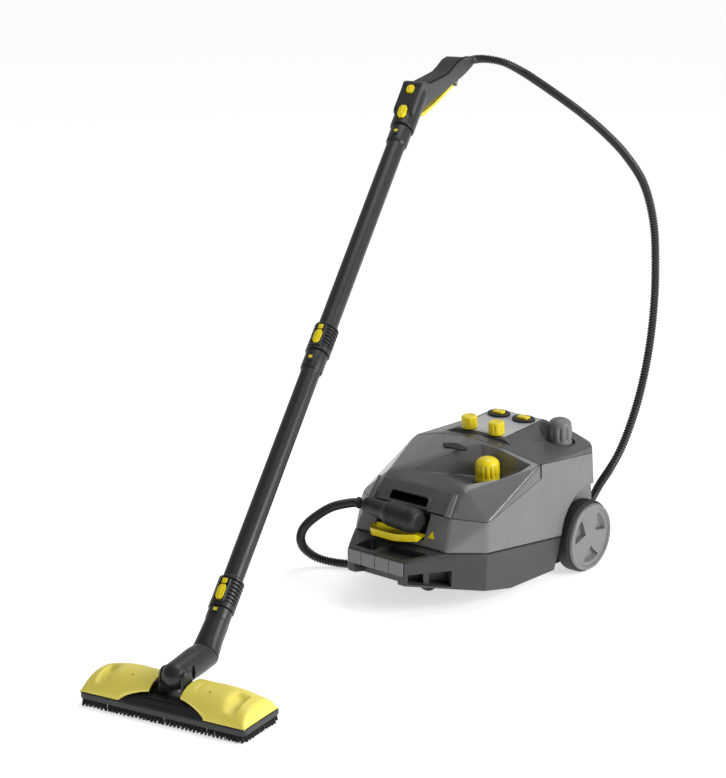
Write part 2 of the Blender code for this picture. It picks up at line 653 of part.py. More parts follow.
def controls(unit, yellow):
    for name, side in (("steam_volume_knob", -1), ("temperature_knob", 1)):
        shape = [(0.0125, 0.0018), (0.0145, 0.0040), (0.0145, 0.0205), (0.0115, 0.0245)]
        on_deck(turned(shape, sides=18), name, yellow, unit, side * KNOB_AT[0], KNOB_AT[1])
    for name, side in (("power_switch", -1), ("heater_switch", 1)):
        rocker = both_sides([(0.0118, -0.0073, 0.0090), (0.0118, 0.0073, 0.0090), (0.0118, 0, 0.0082),
                             (0.0118, -0.0066, 0.0050), (0.0118, 0.0066, 0.0050), (0.0118, 0, 0.0040)])
        on_deck(hull(rocker), name, yellow, unit, side * SWITCH_AT[0], SWITCH_AT[1])

    y, z = FLAP_HINGE
    side_view = [(0.0035, 0.0018), (0.0035, -0.0014), (-0.010, -0.0012), (-0.028, -0.0028), (-0.0445, 0.0030),
                 (-0.0440, 0.0062), (-0.028, 0.0012), (-0.010, 0.0022)]
    flap = solid("socket_flap", extruded(side_view, -0.0575, 0.0440), yellow, unit, (0, y, z))
    fuse(flap, helper(turned([(0.0020, -0.0622), (0.0020, 0.0477)], "x", 8), unit, (0, y, z)))


# ---- hose, plug and gun -------------------------------------------------------------------------
def plug_and_hose(unit, dark, black):
    (right_x, right_z), (left_x, left_z) = PLUG_RIGHT, PLUG_LEFT
    tilt = (left_z - right_z) / (right_x - left_x)
    length = right_x - left_x
    shape = [(0.0120, -length), (0.0140, -length + 0.003), (0.0165, -0.075), (PLUG_R, -0.060), (PLUG_R, -0.010)]
    shape += [(0.0185, -0.002), (0.0120, 0)]
    at, turn = (right_x, PLUG_Y, right_z), (0, tilt, 0)
    plug = solid("plug_body", turned(shape, "x"), dark, unit, at, turn)
    fuse(plug, helper(turned([(0.0060, 0.060), (0.0060, 0.112)], "y", 12), unit, (SOCKET_X, 0, SOCKET_Z)))
    axis = Vector((-length, 0, left_z - right_z)).normalized()
    end = Vector((left_x, PLUG_Y, left_z)) + axis * GAP
    first, second = Vector(HOSE_ROUTE[0]), Vector(HOSE_ROUTE[1])
    leaving = (second - first).normalized()
    rings = [circle(end, axis, 0.0128, 16), circle(end + axis * 0.006, axis, 0.0128, 16)]
    rings.append(circle(first - leaving * GAP, leaving, 0.0105, 16))
    solid("plug_ferrule", loft(rings), black, unit)
    curve_tube("steam_hose", HOSE_ROUTE, HOSE_R, HOSE_STEP, black, unit, 2)


def button(name, parent, along, yellow, collar, collar_r, half=(0.0060, 0.0095), proud=0.0065):
    """A push button in a pocket of the collar it sits on, facing the lance's upper side."""
    wide, long = half
    face, foot = -collar_r - proud, -collar_r + 0.0015
    room_x, room_z = wide + 0.0005, long + 0.0005
    room = block((-room_x, room_x), (face, foot + 0.0030), (along - room_z, along + room_z))
    cut(collar, helper(room, parent))
    outline = [(foot, -long), (face + 0.0020, -long), (face, -long + 0.0045), (face, long - 0.0045),
               (face + 0.0020, long), (foot, long)]
    return solid(name, extruded(outline, -wide, wide), yellow, parent, (0, 0, along))


# Side views in (y, z): the gun and its grip pad from the upper tube's end, the trigger from its hinge.
GUN_OUTLINE = [
    (0.0003, 0.0316),
    (0.0480, 0.0720),
    (0.0520, 0.0775),
    (0.0590, 0.0800),
    (0.0720, 0.0785),
    (0.0900, 0.0715),
    (0.1450, 0.0735),
    (0.1900, 0.0765),
    (0.2150, 0.0830),
    (0.2400, 0.0915),
    (0.2650, 0.0945),
    (0.2900, 0.0930),
    (0.3180, 0.0905),
    (0.3240, 0.0860),
    (0.3240, 0.0760),
    (0.3000, 0.0700),
    (0.2740, 0.0636),
    (0.2310, 0.0567),
    (0.1470, 0.0442),
    (0.0620, 0.0327),
    (0.0300, 0.0120),
]
GRIP_OUTLINE = [
    (0.0930, 0.0719),
    (0.1450, 0.0739),
    (0.1900, 0.0769),
    (0.2150, 0.0834),
    (0.2400, 0.0919),
    (0.2650, 0.0949),
    (0.2870, 0.0936),
    (0.2860, 0.0962),
    (0.2650, 0.0988),
    (0.2400, 0.0958),
    (0.2150, 0.0873),
    (0.1900, 0.0808),
    (0.1450, 0.0778),
    (0.0960, 0.0752),
]
LEVER_OUTLINE = [
    (-0.1690, -0.0385),
    (-0.1570, -0.0391),
    (-0.1070, -0.0306),
    (-0.0430, -0.0159),
    (0.0060, -0.0045),
    (0.0040, 0.0015),
    (-0.0430, -0.0095),
    (-0.1070, -0.0240),
    (-0.1600, -0.0320),
    (-0.1690, -0.0330),
]


def gun_parts(gun, lance_top, dark, black, yellow):
    body = solid("gun_body", extruded(GUN_OUTLINE[::-1], -0.0185, 0.0185), dark, gun)
    fuse(body, helper(turned([(0.0170, GAP), (0.0222, 0.0015), (0.0222, 0.0850), (0.0150, 0.0950)]), lance_top))
    solid("gun_grip", extruded(GRIP_OUTLINE, -0.0150, 0.0150), black, gun)
    hinge_at = (0, *TRIGGER_HINGE)
    trigger = solid("gun_trigger", extruded(LEVER_OUTLINE, -0.0080, 0.0080), yellow, gun, hinge_at)
    fuse(trigger, helper(turned([(0.0020, -0.0122), (0.0020, 0.0122)], "x", 8), gun, hinge_at))
    ear = [(-0.0070, 0.0100), (-0.0060, -0.0020), (-0.0020, -0.0055), (0.0030, -0.0050), (0.0060, 0)]
    ear.append((0.0120, 0.0100))
    for side in (1, -1):
        fuse(body, helper(extruded(ear, side * 0.0086, side * 0.0126), gun, hinge_at))
    cut(body, helper(turned([(0.0023, -0.02), (0.0023, 0.02)], "x", 8), gun, hinge_at))
    button("gun_release_button", lance_top, 0.0223, yellow, body, 0.0222)
    button("gun_lock_button", lance_top, 0.0760, yellow, body, 0.0245, (0.0055, 0.0060), 0.0040)
    sleeve = turned([(0.0100, 0.3240 + GAP), (0.0100, 0.3340), (0.0088, 0.3460)], "y", 16)
    solid("gun_ferrule", sleeve, black, gun, (0, 0, HOSE_EXIT_Z))


# ---- lance and nozzle ---------------------------------------------------------------------------
def tube(name, lance, start, dark, yellow):
    """An extension tube: a ribbed collar with the release button below, the plain coupling ring on top."""
    outside = [(0.0205, GAP), (0.0205, 0.050), (TUBE_R, 0.056), (TUBE_R, 0.462), (0.0190, 0.468)]
    inside = [(0.0190, TUBE_LENGTH - GAP), (TUBE_BORE, TUBE_LENGTH - GAP), (TUBE_BORE, GAP)]
    at = (0, 0, start)
    body = solid(name, turned(outside + inside, ring=True), dark, lance, at)
    frame = empty(f"{name}_frame", at, parent=lance)
    button(f"{name}_release", frame, 0.022, yellow, body, 0.0205)
    fuse(body, helper(block((-0.0045, 0.0045), (-0.0225, -0.0150), (0.4740, 0.4860)), frame))


def neck_and_elbow(unit, lance, along_lance, along_elbow, dark, black):
    swivel_axis = (along_lance + along_elbow).normalized()
    rings = [circle(swivel_axis * GAP, swivel_axis, 0.0228)]
    for reach, radius in ((0.022, 0.0205), (0.058, 0.0185), (0.062, 0.0195), (NECK_LENGTH - GAP, 0.0195)):
        rings.append(circle(along_lance * reach, along_lance, radius))
    neck = solid("nozzle_neck", loft(rings), dark, unit, NECK_JOINT_AT)
    fuse(neck, helper(block((-0.0045, 0.0045), (-0.0225, -0.0150), (-0.0130, -0.0030)), lance))
    side_view = [(0.0212, -0.046), (0.0300, -0.046), (0.0300, -0.008), (0.0270, -0.008), (0.0270, -0.034)]
    side_view += [(0.0235, -0.038), (0.0212, -0.038)]
    solid("parking_hook", extruded(side_view, -0.0080, 0.0080), black, lance)

    reach = (Vector(NECK_JOINT_AT) - Vector(PIVOT_AT)).length
    stations = [(-0.0205, 0.0065), (-0.0170, 0.0135), (-0.0100, 0.0193), (0.0, 0.0215)]
    stations += [(0.030, 0.0215), (0.052, 0.0225)]
    rings = [circle(along_elbow * (t - reach), along_elbow, radius) for t, radius in stations]
    rings.append(circle((0, 0, 0), swivel_axis, 0.0228))
    elbow = solid("nozzle_elbow", loft(rings), dark, unit, NECK_JOINT_AT)
    return elbow


def nozzle(head, elbow, dark, black, yellow, steel):
    for side in (1, -1):
        x = sorted((side * 0.0182, side * 0.05))
        cut(elbow, helper(block(x, (-0.03, 0.022), (-0.03, 0.03)), head))
    cut(elbow, helper(turned([(0.0043, -0.03), (0.0043, 0.03)], "x", 12), head))
    solid("nozzle_pin", turned([(0.0040, -0.0272), (0.0040, 0.0272)], "x", 12), steel, head)

    corner = 0.006
    right = [(NOZZLE_HALF - corner, NOZZLE_FRONT), (NOZZLE_HALF, NOZZLE_FRONT + corner)]
    right += [(NOZZLE_HALF, NOZZLE_REAR - corner), (NOZZLE_HALF - corner, NOZZLE_REAR)]
    plate = right + [(-x, y) for x, y in right[::-1]]
    body = solid("nozzle_body", extruded(plate, PLATE_FOOT, PLATE_TOP, "z"), dark, head)
    rise = [(-0.041, -0.045), (-0.034, -0.032), (-0.010, -0.029), (0.014, -0.032), (0.034, -0.0395)]
    rise.append((0.045, -0.045))
    fuse(body, helper(extruded(rise, -0.0335, 0.0335), head))
    for side in (1, -1):
        ear = [(0.015 * cos(a), 0.015 * sin(a)) for a in [pi * i / 8 for i in range(9)]]
        ear += [(-0.020, -0.040), (0.020, -0.040)]
        fuse(body, helper(extruded(ear, side * 0.0188, side * 0.0265), head))
    cut(body, helper(turned([(0.0043, -0.03), (0.0043, 0.03)], "x", 12), head))

    def ring(inset_by, low, high):
        x = (-NOZZLE_HALF + inset_by, NOZZLE_HALF - inset_by)
        return block(x, (NOZZLE_FRONT + inset_by, NOZZLE_REAR - inset_by), (low, high))

    strip = solid("bristle_strip", ring(0.001, -PIVOT_AT[2], PLATE_FOOT - GAP), black, head)
    cut(strip, helper(ring(0.014, -0.1, 0), head))

    for name, side in (("left", -1), ("right", 1)):
        sections = []
        for x, crown in ((0.036, 0.0335), (0.060, 0.0355), (0.095, 0.0325), (0.125, 0.0255), (0.146, 0.0170)):
            section = []
            for turn in [pi * i / 8 for i in range(9)]:
                height = crown * max(sin(turn), 0) ** 0.8
                y, z = 0.006 + 0.0480 * cos(turn), PLATE_TOP + 0.0008 + height
                section.append((side * x, y - CLAMP_HINGE[0], z - CLAMP_HINGE[1]))
            sections.append(section)
        clamp = solid(f"clamp_{name}", loft(sections), yellow, head, (0, *CLAMP_HINGE))
        x = sorted((side * 0.040, side * 0.118))
        room = extruded([(-0.030, -0.1), (0.042, -0.1), (0.030, -0.020), (-0.018, -0.020)], *x)
        cut(clamp, helper(room, head))


# ---- the whole ----------------------------------------------------------------------------------
def main():
    for old in list(bpy.data.objects):
        bpy.data.objects.remove(old, do_unlink=True)
    grey = material("housing_grey", (150, 150, 150), 0.45)
    dark = material("base_grey", (82, 84, 85), 0.45)
    deep = material("hood_grey", (112, 112, 113), 0.35)
    black = material("soft_black", (34, 34, 34), 0.70)
    yellow = material("control_yellow", (242, 222, 30), 0.35)
    pale = material("cover_yellow", (244, 226, 84), 0.35)
    silver = material("plate_silver", (196, 196, 198), 0.30)
    steel = material("steel", (170, 170, 172), 0.30, 1.0)
    copper = material("copper", (184, 115, 80), 0.35, 1.0)
    white = material("tank_white", (225, 226, 222), 0.40)
    green = material("board_green", (40, 95, 60), 0.50)

    unit = empty("unit", UNIT_AT)
    shells(unit, grey, dark, deep)
    trim(unit, grey, dark, deep, yellow, silver, black)
    inner_parts(unit, steel, copper, white, dark, green)
    running_gear(unit, grey, black, steel)
    screw_cap("boiler_cap", unit, BOILER_AT, SCOOP_FLOOR, CAP_HEIGHT, yellow, black)
    screw_cap("tank_cap", unit, TANK_CAP_AT, POCKET_FLOOR, CAP_HEIGHT + 0.005, grey, black)
    controls(unit, yellow)

    swing = Matrix.Rotation(LANCE_TURN, 3, "Z")
    along_lance = swing @ Vector((0, cos(LANCE_RISE), sin(LANCE_RISE)))
    along_elbow = (Vector(NECK_JOINT_AT) - Vector(PIVOT_AT)).normalized()
    lance_at = Vector(NECK_JOINT_AT) + along_lance * NECK_LENGTH
    gun_at = lance_at + along_lance * 2 * TUBE_LENGTH
    lance_pose = (LANCE_RISE - pi / 2, 0, LANCE_TURN)
    lance = empty("lance", lance_at, lance_pose, unit)
    lance_top = empty("lance_top", gun_at, lance_pose, unit)
    gun = empty("gun", gun_at, (0, 0, LANCE_TURN), unit)
    head = empty("nozzle_head", PIVOT_AT, (0, 0, NOZZLE_TURN), unit)

    plug_and_hose(unit, dark, black)
    gun_parts(gun, lance_top, dark, black, yellow)
    tube("lower_tube", lance, 0.0, dark, yellow)
    tube("upper_tube", lance, TUBE_LENGTH, dark, yellow)
    elbow = neck_and_elbow(unit, lance, along_lance, along_elbow, dark, black)
    nozzle(head, elbow, dark, black, pale, steel)


main()
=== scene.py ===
"""Looks of the commercial steam cleaner: moulded shells, fluted caps, ribbed hose, lance and floor nozzle.

Metres, in the CAD model's frame. Local frames carry the pieces, as in the CAD: the unit, the lance (its +Z
runs up along the tubes, its -Y is the upper side), the gun and the nozzle (its X runs along the brush).
"""

import json
import random
from math import cos, exp, pi, radians, sin

import bmesh
import bpy
from mathutils import Euler, Matrix, Vector
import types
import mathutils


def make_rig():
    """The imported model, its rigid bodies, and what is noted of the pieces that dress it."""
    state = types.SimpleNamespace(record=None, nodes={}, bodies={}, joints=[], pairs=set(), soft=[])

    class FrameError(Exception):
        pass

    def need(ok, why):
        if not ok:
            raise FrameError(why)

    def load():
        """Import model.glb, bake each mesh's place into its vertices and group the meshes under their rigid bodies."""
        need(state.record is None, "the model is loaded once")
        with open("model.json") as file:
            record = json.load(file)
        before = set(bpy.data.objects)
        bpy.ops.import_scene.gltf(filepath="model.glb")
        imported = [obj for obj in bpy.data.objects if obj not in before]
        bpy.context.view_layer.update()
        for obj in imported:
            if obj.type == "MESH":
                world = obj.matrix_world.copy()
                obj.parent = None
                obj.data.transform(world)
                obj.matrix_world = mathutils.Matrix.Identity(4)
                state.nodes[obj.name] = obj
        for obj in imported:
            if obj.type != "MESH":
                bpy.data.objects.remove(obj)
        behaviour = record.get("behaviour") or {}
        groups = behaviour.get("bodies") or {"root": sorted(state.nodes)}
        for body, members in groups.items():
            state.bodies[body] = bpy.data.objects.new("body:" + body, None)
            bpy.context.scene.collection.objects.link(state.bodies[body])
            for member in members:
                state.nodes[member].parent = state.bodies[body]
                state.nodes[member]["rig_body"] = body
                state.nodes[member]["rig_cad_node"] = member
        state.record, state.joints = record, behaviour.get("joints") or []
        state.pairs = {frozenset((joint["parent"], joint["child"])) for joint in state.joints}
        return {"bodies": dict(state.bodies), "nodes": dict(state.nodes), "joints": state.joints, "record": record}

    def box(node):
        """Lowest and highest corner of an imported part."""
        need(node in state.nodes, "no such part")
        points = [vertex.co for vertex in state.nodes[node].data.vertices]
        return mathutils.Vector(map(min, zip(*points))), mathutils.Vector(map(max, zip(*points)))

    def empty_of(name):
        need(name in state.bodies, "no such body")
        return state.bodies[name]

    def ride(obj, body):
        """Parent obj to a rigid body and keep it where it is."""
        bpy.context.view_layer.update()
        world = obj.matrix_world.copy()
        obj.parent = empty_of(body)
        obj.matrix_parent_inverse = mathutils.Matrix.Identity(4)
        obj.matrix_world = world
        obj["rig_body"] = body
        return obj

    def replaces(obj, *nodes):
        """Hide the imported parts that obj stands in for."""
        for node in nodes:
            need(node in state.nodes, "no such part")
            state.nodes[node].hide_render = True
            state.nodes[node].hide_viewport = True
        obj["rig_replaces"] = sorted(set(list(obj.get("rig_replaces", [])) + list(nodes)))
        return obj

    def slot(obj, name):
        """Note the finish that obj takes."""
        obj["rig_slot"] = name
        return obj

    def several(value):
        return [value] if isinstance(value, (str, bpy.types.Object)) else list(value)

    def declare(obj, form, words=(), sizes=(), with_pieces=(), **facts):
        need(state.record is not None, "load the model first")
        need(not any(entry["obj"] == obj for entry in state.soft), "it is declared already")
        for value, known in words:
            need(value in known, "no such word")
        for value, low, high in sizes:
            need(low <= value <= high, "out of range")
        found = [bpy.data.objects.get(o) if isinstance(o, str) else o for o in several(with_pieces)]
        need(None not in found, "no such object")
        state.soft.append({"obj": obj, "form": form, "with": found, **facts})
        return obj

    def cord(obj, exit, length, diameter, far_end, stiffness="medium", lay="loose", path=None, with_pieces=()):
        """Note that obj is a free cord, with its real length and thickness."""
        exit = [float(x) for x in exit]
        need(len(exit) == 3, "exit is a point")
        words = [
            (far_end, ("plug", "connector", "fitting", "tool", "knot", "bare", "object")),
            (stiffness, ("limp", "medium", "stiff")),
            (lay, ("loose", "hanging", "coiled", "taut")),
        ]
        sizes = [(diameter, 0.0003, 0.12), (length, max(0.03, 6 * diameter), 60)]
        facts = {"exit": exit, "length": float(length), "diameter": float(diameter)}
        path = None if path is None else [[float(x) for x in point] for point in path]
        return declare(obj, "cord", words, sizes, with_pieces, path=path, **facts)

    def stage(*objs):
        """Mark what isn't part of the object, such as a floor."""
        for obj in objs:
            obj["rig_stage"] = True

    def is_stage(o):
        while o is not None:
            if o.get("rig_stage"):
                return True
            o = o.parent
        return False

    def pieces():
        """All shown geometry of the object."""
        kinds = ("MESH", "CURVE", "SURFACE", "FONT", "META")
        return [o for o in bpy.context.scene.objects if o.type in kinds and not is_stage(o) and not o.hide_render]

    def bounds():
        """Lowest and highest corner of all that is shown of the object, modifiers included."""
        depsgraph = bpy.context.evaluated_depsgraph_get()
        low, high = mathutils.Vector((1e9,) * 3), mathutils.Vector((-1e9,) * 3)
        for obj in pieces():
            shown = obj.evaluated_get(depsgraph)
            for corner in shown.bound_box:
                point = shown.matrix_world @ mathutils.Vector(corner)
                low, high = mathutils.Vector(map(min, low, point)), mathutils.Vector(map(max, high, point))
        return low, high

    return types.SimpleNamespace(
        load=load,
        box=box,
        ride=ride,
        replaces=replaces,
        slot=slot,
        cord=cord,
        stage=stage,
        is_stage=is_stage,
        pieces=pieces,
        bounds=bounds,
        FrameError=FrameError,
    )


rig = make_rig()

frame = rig.load()
cad_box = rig.bounds()
random.seed(7)

# ---- driving values, in the unit's frame unless it says otherwise
GAP = 0.0003
WALL = 0.003
BEYOND = 0.2  # half the width of a cutter that passes both sides of the unit
ABOVE = 0.262  # the top of a cutter that opens upwards through the shells
SEAM_GAP = 0.0011  # between the shells, a little wider than in the CAD so that it reads as a line
UNIT_AT = Vector((sum(corner.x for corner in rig.box("rear_axle")) / 2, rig.box("bumper_strip")[0].y, 0))

HALF_WIDTH = 0.142
REAR_Y = 0.465
FRONT_Y = 0.067
CORNER_Y = 0.128
SEAM_Z = 0.1119
SEAM_FALL = 0.1123
BUMPER_HALF = 0.0625
BUMPER_TOP = 0.104
BUMPER_FACE_Y = 0.004
HOOD_Z = 0.165
HOOD_CORNER = (0.133, 0.158)
SILL = (0.281, 0.201)
RIM_Z = 0.226
RIM_FALL = 0.095
ARCH_MIDDLE_Y, ARCH_SWEEP = 0.258, 0.02
WHEEL_R = 0.065
WHEEL_Y = 0.408
WELL_X = 0.12
ARCH_Y, ARCH_Z, ARCH_R = 0.425, 0.07, 0.085
AXLE_R = 0.005
CASTOR_Y = 0.13
CASTOR_WELL_R = 0.0515
CASTOR_ROOF = 0.0715
BOILER_AT = (0.068, 0.221)
TANK_CAP_AT = (0.094, 0.396)
SCOOP_FLOOR = 0.1955
POCKET_FLOOR = 0.227
NECK_R = 0.015
KNOB_AT = (0.03, 0.296)
SWITCH_AT = (0.0275, 0.378)
DECK_FRONT = (0.285, 0.2545)
DECK_REAR = (0.405, 0.264)
FASCIA_HALF = 0.0775
FASCIA_FOOT = (0.0955, 0.1668)
FASCIA_HEAD = (0.1175, 0.1968)
SLOT_LEFT, SLOT_RIGHT = -0.053, 0.0335
RECESS_LEFT, RECESS_RIGHT = -0.063, 0.0485
RECESS_Z = (0.1215, 0.1645)
SOCKET_X, SOCKET_Z = 0.026, 0.15
PLUG_Y = 0.06
PLUG_RIGHT = (0.048, 0.157)
PLUG_LEFT = (-0.0627, 0.1649)
FLAP_HINGE = (0.08, 0.128)
HOSE_R = 0.0083
HOSE_RIB = 0.005  # pitch of the hose's ribs
TUBE_R = 0.0165
TUBE_LENGTH = 0.4988
LANCE_TURN, LANCE_RISE = radians(18.32), radians(39.86)
NECK_LENGTH = 0.077
NECK_JOINT_AT = Vector((0.032, -0.4413, 0.0704))
NOZZLE_TURN = radians(10.91)
PIVOT_AT = Vector((0.0472, -0.5202, 0.064))
NOZZLE_HALF, NOZZLE_FRONT, NOZZLE_REAR = 0.15, -0.0441, 0.0599  # in the nozzle's frame
PLATE_TOP, PLATE_FOOT = -0.042, -0.0515
TRIGGER_HINGE = (0.248, 0.0525)  # y, z in the gun's frame

ALONG_LANCE = Matrix.Rotation(LANCE_TURN, 3, "Z") @ Vector((0, cos(LANCE_RISE), sin(LANCE_RISE)))
ALONG_ELBOW = (NECK_JOINT_AT - PIVOT_AT).normalized()
SWIVEL_AXIS = (ALONG_LANCE + ALONG_ELBOW).normalized()
LANCE_AT = NECK_JOINT_AT + ALONG_LANCE * NECK_LENGTH
DECK_TILT = (DECK_REAR[1] - DECK_FRONT[1]) / (DECK_REAR[0] - DECK_FRONT[0])

# The steam hose's route from the plug to the gun, as in the CAD.
HOSE_ROUTE = [
    (-0.0853, 0.06, 0.1642), (-0.107, 0.06, 0.159), (-0.15, 0.061, 0.1415), (-0.19, 0.061, 0.1135),
    (-0.217, 0.064, 0.088), (-0.233, 0.073, 0.062), (-0.237, 0.088, 0.038), (-0.226, 0.108, 0.0185),
    (-0.203, 0.127, 0.01), (-0.172, 0.143, 0.0088), (-0.146, 0.164, 0.0088), (-0.126, 0.198, 0.0088),
    (-0.097, 0.254, 0.0088), (-0.065, 0.311, 0.0088), (-0.03, 0.367, 0.0088), (0.001, 0.427, 0.0088),
    (0.024, 0.47, 0.0088), (0.04, 0.508, 0.015), (0.048, 0.538, 0.037), (0.054, 0.555, 0.072),
    (0.07, 0.557, 0.106), (0.098, 0.549, 0.145), (0.117, 0.554, 0.185), (0.133, 0.563, 0.24),
    (0.146, 0.571, 0.303), (0.152, 0.583, 0.375), (0.15, 0.597, 0.448), (0.138, 0.616, 0.515),
    (0.118, 0.636, 0.59), (0.08, 0.658, 0.654), (0.024, 0.681, 0.697), (-0.034, 0.698, 0.729),
    (-0.095, 0.712, 0.757), (-0.159, 0.727, 0.781), (-0.223, 0.744, 0.802), (-0.27, 0.756, 0.816),
    (-0.31, 0.75, 0.831), (-0.336, 0.727, 0.838), (-0.345, 0.701, 0.839), (-0.3377, 0.6785, 0.8387),
]


def placed(spot, turn=(0, 0, 0)):
    """A local frame, from its place in the unit's frame and its Euler angles."""
    return Matrix.Translation(UNIT_AT + Vector(spot)) @ Euler(turn).to_matrix().to_4x4()


def deck(x, y):
    """A frame that stands square on the control deck."""
    return placed((x, y, DECK_FRONT[1] + (y - DECK_FRONT[0]) * DECK_TILT), (DECK_TILT, 0, 0))


LANCE_POSE = (LANCE_RISE - pi / 2, 0, LANCE_TURN)
UNIT = placed((0, 0, 0))
LOWER = placed(LANCE_AT, LANCE_POSE)
UPPER = placed(LANCE_AT + ALONG_LANCE * TUBE_LENGTH, LANCE_POSE)
BARREL = placed(LANCE_AT + ALONG_LANCE * 2 * TUBE_LENGTH, LANCE_POSE)
GUN = placed(LANCE_AT + ALONG_LANCE * 2 * TUBE_LENGTH, (0, 0, LANCE_TURN))
HEAD = placed(PIVOT_AT, (0, 0, NOZZLE_TURN))


# ---- materials
MOTTLE_SCALE, GLOSS_SCALE, GLOSS_SPREAD, GRAIN_DEPTH = 26.0, 60.0, 0.07, 0.0004


def linear(value):
    level = value / 255
    return level / 12.92 if level <= 0.04045 else ((level + 0.055) / 1.055) ** 2.4


def set_inputs(node, values):
    for socket, value in values.items():
        node.inputs[socket].default_value = value
    return node


def plastic(name, rgb, roughness, grain=0.12, grain_size=900.0, mottle=0.05, coat=0.0, metallic=0.0):
    """Plastic, rubber or metal: a base colour with slow mottling, uneven gloss and a fine moulded grain."""
    made = bpy.data.materials.new(name + "_look")
    made.use_nodes = True
    nodes, links = made.node_tree.nodes, made.node_tree.links
    gleam = {"Metallic": metallic, "Coat Weight": coat, "Coat Roughness": 0.15}
    shader = set_inputs(nodes["Principled BSDF"], gleam)
    spots = nodes.new("ShaderNodeTexCoord")

    def noise(scale, detail):
        texture = set_inputs(nodes.new("ShaderNodeTexNoise"), {"Scale": scale, "Detail": detail})
        links.new(spots.outputs["Object"], texture.inputs["Vector"])
        return texture.outputs["Fac"]

    ramp = nodes.new("ShaderNodeValToRGB")
    colour = [linear(value) for value in rgb]
    for stop, factor in zip(ramp.color_ramp.elements, (1 - mottle, 1 + mottle)):
        stop.color = (*(min(1.0, level * factor) for level in colour), 1)
    ramp.color_ramp.elements[0].position, ramp.color_ramp.elements[1].position = 0.3, 0.7
    links.new(noise(MOTTLE_SCALE, 5.0), ramp.inputs["Fac"])
    links.new(ramp.outputs["Color"], shader.inputs["Base Color"])

    limits = {"To Min": max(0.02, roughness - GLOSS_SPREAD), "To Max": roughness + GLOSS_SPREAD}
    gloss = set_inputs(nodes.new("ShaderNodeMapRange"), limits)
    links.new(noise(GLOSS_SCALE, 6.0), gloss.inputs["Value"])
    links.new(gloss.outputs["Result"], shader.inputs["Roughness"])

    bump = set_inputs(nodes.new("ShaderNodeBump"), {"Strength": grain, "Distance": GRAIN_DEPTH})
    links.new(noise(grain_size, 3.0), bump.inputs["Height"])
    links.new(bump.outputs["Normal"], shader.inputs["Normal"])
    return made


LIGHT_GREY = plastic("housing_plastic", (116, 116, 116), 0.38, 0.08)
MID_GREY = plastic("hood_plastic", (97, 97, 98), 0.24, 0.03, coat=0.35)
# A lighter copy of the hood's plastic: on the hood's ridges it is a painted highlight along the hood's front edges; on
# the bumper pads it is their own grey.
RIDGE_HIGHLIGHT_AND_PAD_GREY = plastic("ridge_plastic", (112, 113, 114), 0.32, 0.05)
FRAME_GREY = plastic("slot_frame", (94, 95, 96), 0.34, 0.06)
CONSOLE_GREY = plastic("console_plastic", (76, 77, 78), 0.34, 0.06)
BASE_GREY = plastic("base_plastic", (52, 54, 55), 0.42, 0.14)
TOOL_GREY = plastic("tool_plastic", (35, 36, 37), 0.36, 0.1)
DARK = plastic("dark_plastic", (30, 30, 31), 0.5, 0.2)
# Near-black for the cups of the handle pocket and the socket: painted shade, darker than the plastics they are made
# of.
RECESS_SHADE_BLACK = plastic("inner_plastic", (24, 24, 25), 0.65, 0.2)
GRIP = plastic("grip_rubber", (33, 33, 34), 0.62, 0.75, 520.0)
YELLOW = plastic("control_yellow", (246, 222, 12), 0.33, 0.05, mottle=0.03, coat=0.15)
PALE_YELLOW = plastic("clamp_yellow", (252, 236, 104), 0.36, 0.06, mottle=0.03)
SILVER = plastic("plate_silver", (186, 187, 190), 0.3, 0.04, mottle=0.03)
HUB_GREY = plastic("wheel_plastic", (116, 117, 117), 0.34, 0.06, coat=0.15)
RUBBER = plastic("tyre_rubber", (30, 31, 31), 0.6, 0.3, 700.0)
HOSE_BLACK = plastic("hose_rubber", (46, 47, 48), 0.4, 0.1)
BRISTLE = plastic("bristle", (14, 14, 15), 0.5, 0.1)
STEEL = plastic("steel", (165, 166, 168), 0.28, 0.05, mottle=0.02, metallic=1.0)
COPPER = plastic("copper", (184, 112, 78), 0.32, 0.08, metallic=1.0)
WHITE = plastic("tank_white", (222, 223, 219), 0.42, 0.1)
GREEN = plastic("board_green", (38, 92, 58), 0.45, 0.1)

# The slot of a look that isn't named after its slot.
SLOTS = {
    "ridge_plastic": "hood_plastic", "slot_frame": "hood_plastic",
    "console_plastic": "base_plastic", "plate_silver": "console_silver",
    "dark_plastic": "soft_black", "inner_plastic": "soft_black", "grip_rubber": "soft_black",
}


# ---- shapes
def closed(bm):
    bmesh.ops.recalc_face_normals(bm, faces=bm.faces)
    return bm


def loft(rings, join_ends=False):
    bm = bmesh.new()
    made = [[bm.verts.new(point) for point in ring] for ring in rings]
    pairs = list(zip(made, made[1:])) + ([(made[-1], made[0])] if join_ends else [])
    for low, high in pairs:
        for i in range(len(low)):
            j = (i + 1) % len(low)
            bm.faces.new((low[i], low[j], high[j], high[i]))
    if not join_ends:
        bm.faces.new(made[0][::-1])
        bm.faces.new(made[-1])
    return closed(bm)


def circle(centre, axis, radius, sides=48, across=(1, 0, 0)):
    """Points of a circle; the radius is a number or a function of the angle from `across`."""
    axis = Vector(axis).normalized()
    first = Vector(across)
    first = (first - axis * first.dot(axis)).normalized()
    second = axis.cross(first)
    points = []
    for turn in [2 * pi * i / sides for i in range(sides)]:
        reach = radius(turn) if callable(radius) else radius
        points.append(Vector(centre) + reach * (cos(turn) * first + sin(turn) * second))
    return points


def turned(profile, axis="z", sides=48, ring=False):
    along = Vector({"x": (1, 0, 0), "y": (0, 1, 0), "z": (0, 0, 1)}[axis])
    across = (0, 0, 1) if axis == "x" else (1, 0, 0)
    rings = [circle(along * height, along, radius, sides, across) for radius, height in profile]
    return loft(rings, join_ends=ring)


def rod(radius, low, high, axis="z", sides=48):
    return turned([(radius, low), (radius, high)], axis, sides)


